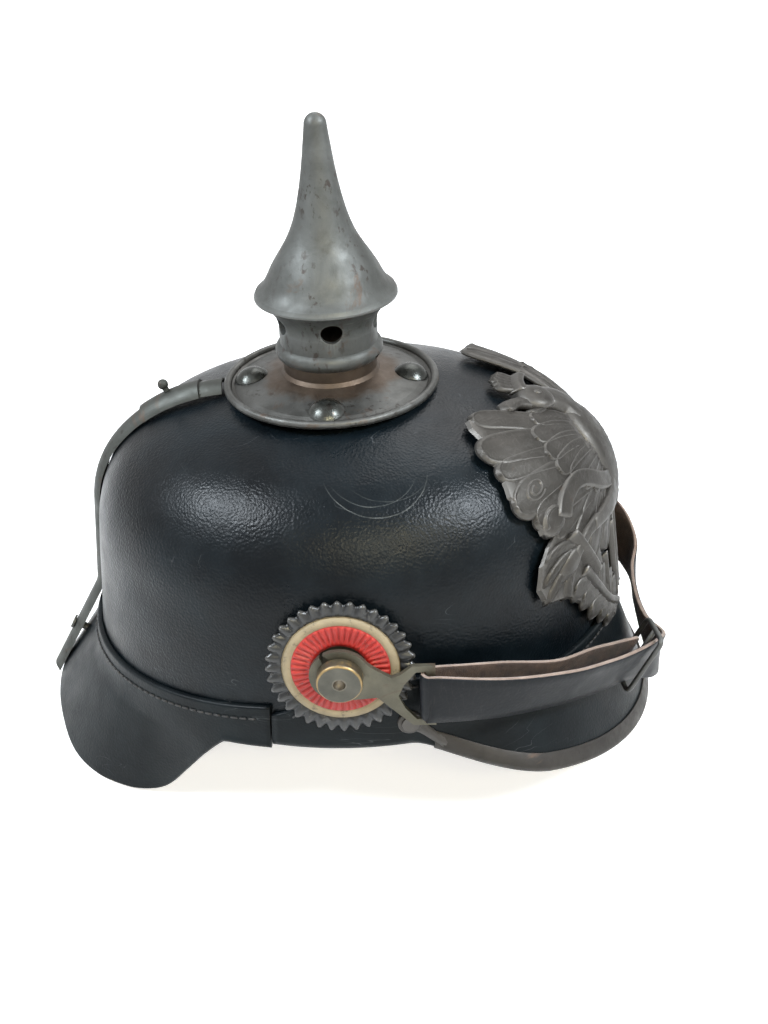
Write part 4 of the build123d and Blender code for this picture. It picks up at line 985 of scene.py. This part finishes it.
# front plate: an eagle in relief with a bare ribbon, laid out in mm in the slanted plane of the plate
eagle = {
    "slant": radians(35),
    "standoff": 2.8,
    "sheet": 1.2,
    # feathers of one wing: base, tip, half width, lift
    "wing": (((19, 50), (30.5, 81.5), 5.4, 0.1), ((22, 46), (46.5, 76), 7.4, 0.35),
             ((24, 43), (52.5, 68.5), 5, 0.2), ((25, 38), (59.5, 58.5), 7.6, 0.5),
             ((27, 34), (59, 49), 5, 0.3), ((28, 32), (56.5, 39.5), 4.4, 0.1),
             ((27, 31), (52.5, 26.5), 5, 0.35), ((23, 29), (44, 15.5), 5, 0.2),
             ((18, 26), (33, 9), 4.8, 0.1)),
    "covert": (((10, 50), (23, 65), 4.4, 1.3), ((13, 48), (32, 63), 4.4, 1.6), ((15, 45), (37, 57), 4.4, 1.8),
               ((16, 42), (40, 51), 4.4, 2), ((15, 38), (39, 44.5), 4.2, 1.9),
               ((13, 35), (36, 38.5), 4, 1.6), ((10, 32), (32, 33), 4, 1.2)),
    "tail": (((0, 8), (0, -23), 4.6, 0.9), ((2, 8), (8, -22.5), 4.2, 0.5), ((4, 9), (15, -20), 4, 0.2)),
    # leaves below the feet
    "spray": (((26, -19), (37, -15.5), 3.4, 0.3), ((30, -14), (42, -8.5), 3.6, 0.5),
              ((35, -8), (48, -1), 3.6, 0.6), ((40, 0), (51.5, 7), 3.6, 0.5), ((45, 8), (55, 14), 3.4, 0.4),
              ((27, -17), (24, -8), 3, 0.4), ((33, -9), (29.5, -1), 3, 0.5), ((39, -1), (37, 7), 3, 0.5),
              ((20, -20), (29, -20.5), 3, 0.2)),
    "toes": (((52, 28), (63, 36), 2.1, 1), ((52, 27), (65.5, 29), 2.3, 1.2), ((52, 25), (65, 22), 2.4, 1),
             ((52, 23), (58, 15), 2.2, 0.8)),
    # bend, then crest, rim, steps along and across and root where they differ from a feather's
    "forms": {"wing": (1.2,), "covert": (1.2,), "tail": (0,), "spray": (0, 0.4, 0.25, 12, 8, 0.45),
              "toes": (1.6, 0.7, 0, 12, 8)},
    # bands of one side: line, half width, lift, height, rim, steps along and across, taper
    "limbs": ((spiral((51.5, 56), (4.6, 3.4), 0.65, 10.2, -2, 30), 0.45, 0.9, 0.25, 0, 60, 4),
              (spiral((54.5, 43.5), (4, 4), 0.55, 7.2, 0, 16), 0.8, 0.9, 0.4, 0, 40, 6),
              (((8, 20), (20, 19), (34, 23), (42, 26)), 5.5, 1.4, 1.2, 0, 24, 8, 3),
              (((38, 25), (46, 27), (54, 26)), 2.6, 1.4, 0.9, 0, 20, 8),
              (((22, -21), (34, -10), (43, 4), (49, 16)), 1.5, 0.5, 1, 0, 30, 6),
              (((33, -12), (33, 8)), 0.8, 0.4, 0.7, 0, 14, 5),
              (((22, -18), (22, 12)), 0.8, 0.4, 0.7, 0, 14, 5)),
    # bosses of one side: centre, radii, lift, height, steps round and inward
    "knobs": (((54.5, 43.5), (4.9, 4.9), 0.6, 0.8, 28, 5), ((55.5, 25.5), (4.6, 4.2), 0.9, 1.4, 24, 5)),
    # head turned to the wearer's right: beak and crown, neck and crown band, skull and eye
    "headLeaves": [((-11, 65.5), (-21, 73), 2.6, 1.8, -1.8, 1, 0, 14, 8, 1.5),
                   ((-11, 62), (-18.5, 66), 1.7, 1.5, 0.8, 0.8, 0, 12, 8, 1.5)]
                  + [((k * 1.6 + 1, 69), (k * 2.9 + 1, 77 - 0.6 * abs(k)), 2.3, 0.6, 0, 0.5, 0.3, 12, 8)
                     for k in (-2, -1, 0, 1, 2)],
    "headBands": ((((0, 45), (0.5, 54), (-4, 62)), 8.5, 1.6, 1.8, 0, 24, 8, 2.6),
                  (((-6, 69.5), (1, 70.6), (8, 69.5)), 1.5, 2, 0.9, 0.3, 16, 6)),
    "headKnobs": (((-7, 64.5), (7.2, 5.6), 2.2, 2, 30, 6), ((-8, 66.5), (1.2, 1.2), 4, 0.6, 14, 3)),
    # bare ribbon hung across breast and wings, in one half
    "ribbon": ((52, 41), (46, 44), (36, 42), (24, 30), (12, 23), (0, 21)),
    "rod": (((-44, 10), (-50, 24), (-53, 34)), 1.1, 2.4, 0.7, 0, 20, 6),
    "orb": ((48, 18), (5, 5), 1.2, 2.4, 28, 7),
}


def domeDistance(x, y, z):
    # how far places lie outside the round skull, before it is drawn in
    r = np.hypot(x / widthShare, y - shell["centreY"])
    turn = np.arctan2(r - bowX, z - bowZ)
    wall = (r - (shell["halfLength"] - (z - shell["rim"]) * tan(shell["lean"]))) * cos(shell["lean"])
    bow = np.hypot(r - bowX, z - bowZ) - bowR
    top = np.hypot(r, z - crownZ) - crownR
    overTop = np.arctan2(r, z - crownZ) < crownTurn
    return np.where(overTop, top, np.where(turn > pi / 2 - shell["lean"], wall, bow))


def closedSheet(front, rows, cols, border=None):
    # grid of (u, v, lift above the plate's back), pressed on to the skull, with a back and joined borders
    uvh = np.array(front + [(u, v, 0) for u, v, _ in front], float)
    tilt = eagle["slant"]
    low, high = np.zeros(len(uvh)), np.full(len(uvh), 220.0)
    for _ in range(44):
        out = (low + high) / 2
        y = uvh[:, 1] * sin(tilt) - out * cos(tilt)
        z = uvh[:, 1] * cos(tilt) + out * sin(tilt)
        inside = domeDistance(uvh[:, 0], y, z) < uvh[:, 2] + eagle["standoff"]
        low, high = np.where(inside, out, low), np.where(inside, high, out)
    n = rows * cols
    faces = gridFaces(rows, cols, False, False)
    faces += [tuple(i + n for i in f[::-1]) for f in faces]
    if border is None:
        border = list(range(cols)) + [cols * i - 1 for i in range(2, rows)]
        border += list(range(n - 1, n - cols, -1)) + [cols * i for i in range(rows - 1, -1, -1)]
    faces += [(a, a + n, b + n, b) for a, b in zip(border, border[1:])]
    return [tuple(p) for p in np.stack([uvh[:, 0], y, z], -1)], faces


def leaf(base, tip, half, lift, bend=0, crest=0.45, rim=0.5, long=22, wide=14, root=0.8):
    # one stamped feather: rounded end, raised outline, middle rib and fine barbs
    base, tip = np.array(base, float), np.array(tip, float)
    along = tip - base
    length = np.linalg.norm(along)
    along /= length
    side = np.array([-along[1], along[0]])
    cap = min(1.05 * half / length, 0.55)
    front = []
    for i in range(long + 1):
        t = sin(i / long * pi / 2) ** 0.9
        over = max((t - 1 + cap) / cap, 0)
        width = half * max((root + (1 - root) * smooth(0, 0.5, t)) * sqrt(max(1 - over ** 2, 0)), 0.03)
        middle = base + along * length * t + side * bend * sin(pi * t)
        for j in range(wide + 1):
            s = 2 * j / wide - 1
            inward = min((1 - abs(s)) * half, (1 - t) * length + (1 - abs(s)) * half * 0.3)
            edge = exp(-((inward - 0.75) / 0.5) ** 2)
            rib = exp(-(s / 0.13) ** 2) * (1 - smooth(0.7, 0.9, t))
            barb = sin((t * length - abs(s) * half * 1.5) * 2.6) * smooth(0.1, 0.35, t)
            height = eagle["sheet"] + 0.45 * lift + crest * (1 - s * s) + rim * edge
            height += 0.2 * rib + 0.09 * barb * (1 - edge)
            place = middle + side * width * s
            front.append((*place, height * (0.45 + 0.55 * smooth(-0.2, 0.55, inward))))
    return closedSheet(front, long + 1, wide + 1)


def band(points, half, lift, height, rim, long, wide, taper=0):
    # ribbon or limb along a soft line, with a raised line near both edges
    line = smoothLine(points, long)
    front = []
    for i, (u, v) in enumerate(line):
        before, after = np.array(line[max(i - 1, 0)]), np.array(line[min(i + 1, long)])
        along = (after - before) / np.linalg.norm(after - before)
        side = np.array([-along[1], along[0]])
        width = half - taper * i / long
        for j in range(wide + 1):
            s = 2 * j / wide - 1
            edge = exp(-((abs(s) - 0.78) / 0.12) ** 2)
            place = np.array([u, v]) + side * width * s
            rise = eagle["sheet"] + lift + height * (1 - s ** 4) + rim * edge
            front.append((*place, rise * (0.4 + 0.6 * smooth(0, 0.15, 1 - abs(s)))))
    return closedSheet(front, long + 1, wide + 1)


def mound(centre, radii, lift, height, turns, rings, ripple=None):
    # rounded boss, with a pattern of small scales where asked
    front = []
    for i in range(rings + 1):
        t = max(i / rings, 0.02)
        for j in range(turns + 1):
            a = 2 * pi * j / turns
            u, v = centre[0] + radii[0] * t * cos(a), centre[1] + radii[1] * t * sin(a)
            rise = eagle["sheet"] + lift + height * sqrt(max(1 - t * t, 0))
            if ripple:
                rise += ripple(u, v) * (1 - t ** 4)
            front.append((u, v, rise))
    outermost = rings * (turns + 1)
    return closedSheet(front, rings + 1, turns + 1, range(outermost, outermost + turns + 1))


def scales(u, v):
    row = floor(v / 3.2)
    x = (u + (row % 2) * 1.9) / 3.8
    dx, dy = (x - floor(x)) - 0.5, v / 3.2 - row
    return 0.35 * cos(dx * pi) * (1 - dy)


def mirrored(points, side):
    return [(side * u, v) for u, v in points]


def buildEagle():
    parts = []
    for side in (-1, 1):
        for group, (bend, *form) in eagle["forms"].items():
            for base, tip, half, lift in eagle[group]:
                parts.append(leaf(*mirrored((base, tip), side), half, lift, side * bend, *form))
        parts += [band(mirrored(line, side), *form) for line, *form in eagle["limbs"]]
        parts += [mound((side * u, v), *form) for (u, v), *form in eagle["knobs"]]
    parts.append(mound((0, 30), (16, 24), 0.8, 3.6, 40, 12, scales))
    parts += [leaf(*form) for form in eagle["headLeaves"]]
    parts += [band(*form) for form in (*eagle["headBands"], eagle["rod"])]
    parts += [mound(*form) for form in (*eagle["headKnobs"], eagle["orb"])]
    half = eagle["ribbon"]
    parts.append(band(mirrored(half, -1) + list(half[-2::-1]), 3.4, 1.5, 0.35, 0.45, 100, 12))
    return dress(joined("eagleRelief", parts, [plateSteel]), "shell", slot="plate_steel")


print("building the eagle")
buildEagle()

# liner with tongues
liner = {
    "gap": 9,
    "leather": 1.3,
    "slit": 73,
    "top": 118,
    "tongues": 9,
    "welt": 2.4,
}


def linerTop(degrees):
    turn = (degrees * liner["tongues"] / 360 + 0.5) % 1
    side = abs(turn - 0.5) * 2
    return liner["slit"] + (liner["top"] - liner["slit"]) * smooth(0.02, 0.42, 1 - side) ** 0.8


def linerOutline(degrees):
    low, top = rimUnder(degrees) + 0.3, linerTop(degrees)
    depth = shell["leather"] + liner["gap"]
    return meridian(-depth, low, top) + meridian(-depth - liner["leather"], low, top)[::-1]


def weltOutline(degrees):
    low = rimUnder(degrees)
    high = low + liner["welt"]
    outerR = wallRadius(low) - shell["leather"] - 0.2
    innerR = outerR - liner["gap"] - 0.6
    return rounded([(outerR, low), (innerR, low), (innerR, high), (outerR, high)], [0.8] * 4, 3)


def buildLiner():
    tongues = sweptShell("linerTongues", range(360), linerOutline, [linerHide], wrap=True)
    dress(tongues, "shell", "liner", slot="liner_leather")
    welt = sweptShell("linerWelt", [i * 2.5 for i in range(144)], weltOutline, [linerHide], wrap=True)
    return dress(welt, "shell", slot="liner_leather")


# leather slips pushed through the plate's loops on the inside: middle, corners, half thickness
wedge = {
    "middle": 33,
    "corners": ((-2.9, -9.8), (2.9, -9.8), (2.2, 9.8), (-2.2, 9.8)),
    "half": 1.2,
}


def buildWedges():
    low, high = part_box("plate_wedges")
    corners = rounded(wedge["corners"], [1.2] * 4, 4)
    parts = []
    for side in (-1, 1):
        centre = Vector((side * wedge["middle"], (low.y + high.y) / 2 / mm, (low.z + high.z) / 2 / mm))
        out = Vector((side * 0.3, -0.62, 0.72)).normalized()
        across, up = facing(out)
        verts = [tuple(centre + across * a + up * b + out * c) for c in (-wedge["half"], wedge["half"])
                 for a, b in corners]
        parts.append((verts, gridFaces(2, len(corners), False, True, caps=True)))
    wedges = joined("plateWedges", parts, [insideLeather])
    return dress(wedges, "shell", "plate_wedges", slot="strap_leather")


print("building the inside")
buildLiner()
buildWedges()

# metal pieces that keep their solids; the rest of them is plain grey steel
finishes = {}
for steel, nodes in (
    (spikeSteel, ["spike"]),
    (baseSteel, ["base_plate"]),
    (studSteel, ["base_studs"]),
    (spineSteel, ["rear_spine", "vent_slide", "vent_knob"]),
    (trimSteel, ["trim_rivets"]),
    (plateSteel, ["front_plate", "plate_loops"]),
    (fittingSteel, ["strap_fitting_right", "strap_fitting_left"]),
    (postSteel, ["side_post_right", "side_post_left"]),
):
    finishes.update(dict.fromkeys(nodes, steel))
for node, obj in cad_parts.items():
    if not obj.hide_render:
        for place in obj.material_slots:
            place.material = finishes.get(node, greySteel)

# floor, light and camera
studio = {
    "floor": (0.66, 0.66, 0.66),
    "floorHalf": 4,
    "floorDrop": 0.0002,
    # glow that only the backdrop's rays see, rising to white between these shares of 4 m
    "glow": ((0.1, 0.72), (0.5, 1)),
    # tones of the room from straight down to straight up
    "room": ((0, 0.24), (0.45, 0.18), (0.53, 0.05), (0.72, 0.04), (0.84, 0.12), (1, 0.34)),
    # place, width and height of the panel, power, colour
    "lamps": {
        "rearSide": ((-0.28, 0.9, 1.12), (0.42, 0.42), 26, (0.86, 0.93, 1)),
        "frontSide": ((-0.38, -0.88, 1.03), (0.36, 0.42), 24, (0.86, 0.93, 1)),
        "warmStrip": ((-0.98, -0.33, 0.83), (0.85, 0.1), 7, (1, 0.9, 0.6)),
        "high": ((1.05, -0.3, 1.55), (1.1, 1.1), 14, (1, 1, 1)),
    },
    "lampAim": (0, 0, 0.08),
}


def paleFloor():
    n = Nodes(bpy.data.materials.new("paleFloor"))
    shade = n.mix(n.noise(3, 2), studio["floor"], tuple(c * 0.985 for c in studio["floor"]))
    far = n.ramp(n.maths("DIVIDE", n.ring("XY", (0, 0)), 100 * studio["floorHalf"]), *studio["glow"])
    glow = n.times(n.backdrop(), far)
    return n.finish(shade, 0.8, Emission_Strength=glow, Emission_Color=(1, 1, 1))


def aimed(obj, place, target, roll=0):
    look = (Vector(target) - Vector(place)).to_track_quat("-Z", "Y").to_matrix().to_4x4()
    obj.matrix_world = Matrix.Translation(place) @ look @ Matrix.Rotation(roll, 4, "Z")
    bpy.context.scene.collection.objects.link(obj)


def buildStudio():
    half = studio["floorHalf"]
    corners = [(-half, -half, 0), (half, -half, 0), (half, half, 0), (-half, half, 0)]
    ground = makeMesh("floor", corners, [(0, 1, 2, 3)], [paleFloor()], unit=1)
    ground.location.z = cadBox[0].z - studio["floorDrop"]
    # the room is dim with a brighter ceiling and ground, and shows as plain white itself
    world = bpy.data.worlds.new("studio")
    bpy.context.scene.world = world
    n = Nodes(world, "Generated")
    room = n.ramp(n.plus(n.times(n.axis("Z"), 0.5), 0.5), *studio["room"])
    n.feed(n.tree.nodes["Background"].inputs["Color"], n.mix(n.backdrop(), room, (1, 1, 1)))
    for name, (place, size, power, colour) in studio["lamps"].items():
        light = bpy.data.lights.new(name, "AREA")
        light.shape = "RECTANGLE"
        light.size, light.size_y = size
        light.energy = power
        light.color = colour
        aimed(bpy.data.objects.new(name, light), place, studio["lampAim"])


camera = {
    "place": (-0.40759, -0.03423, 0.32598),
    "aim": (0, -0.01743, 0.07942),
    "roll": radians(-2.445),
    "lens": 42.1875,
}


def buildCamera():
    data = bpy.data.cameras.new("camera")
    data.lens = camera["lens"]
    data.sensor_width = 36
    data.clip_start = 0.01
    data.clip_end = 50
    obj = bpy.data.objects.new("camera", data)
    aimed(obj, camera["place"], camera["aim"], camera["roll"])
    bpy.context.scene.camera = obj


print("setting the studio")
buildStudio()
buildCamera()
bpy.context.scene.view_settings.view_transform = "Standard"

print("done")
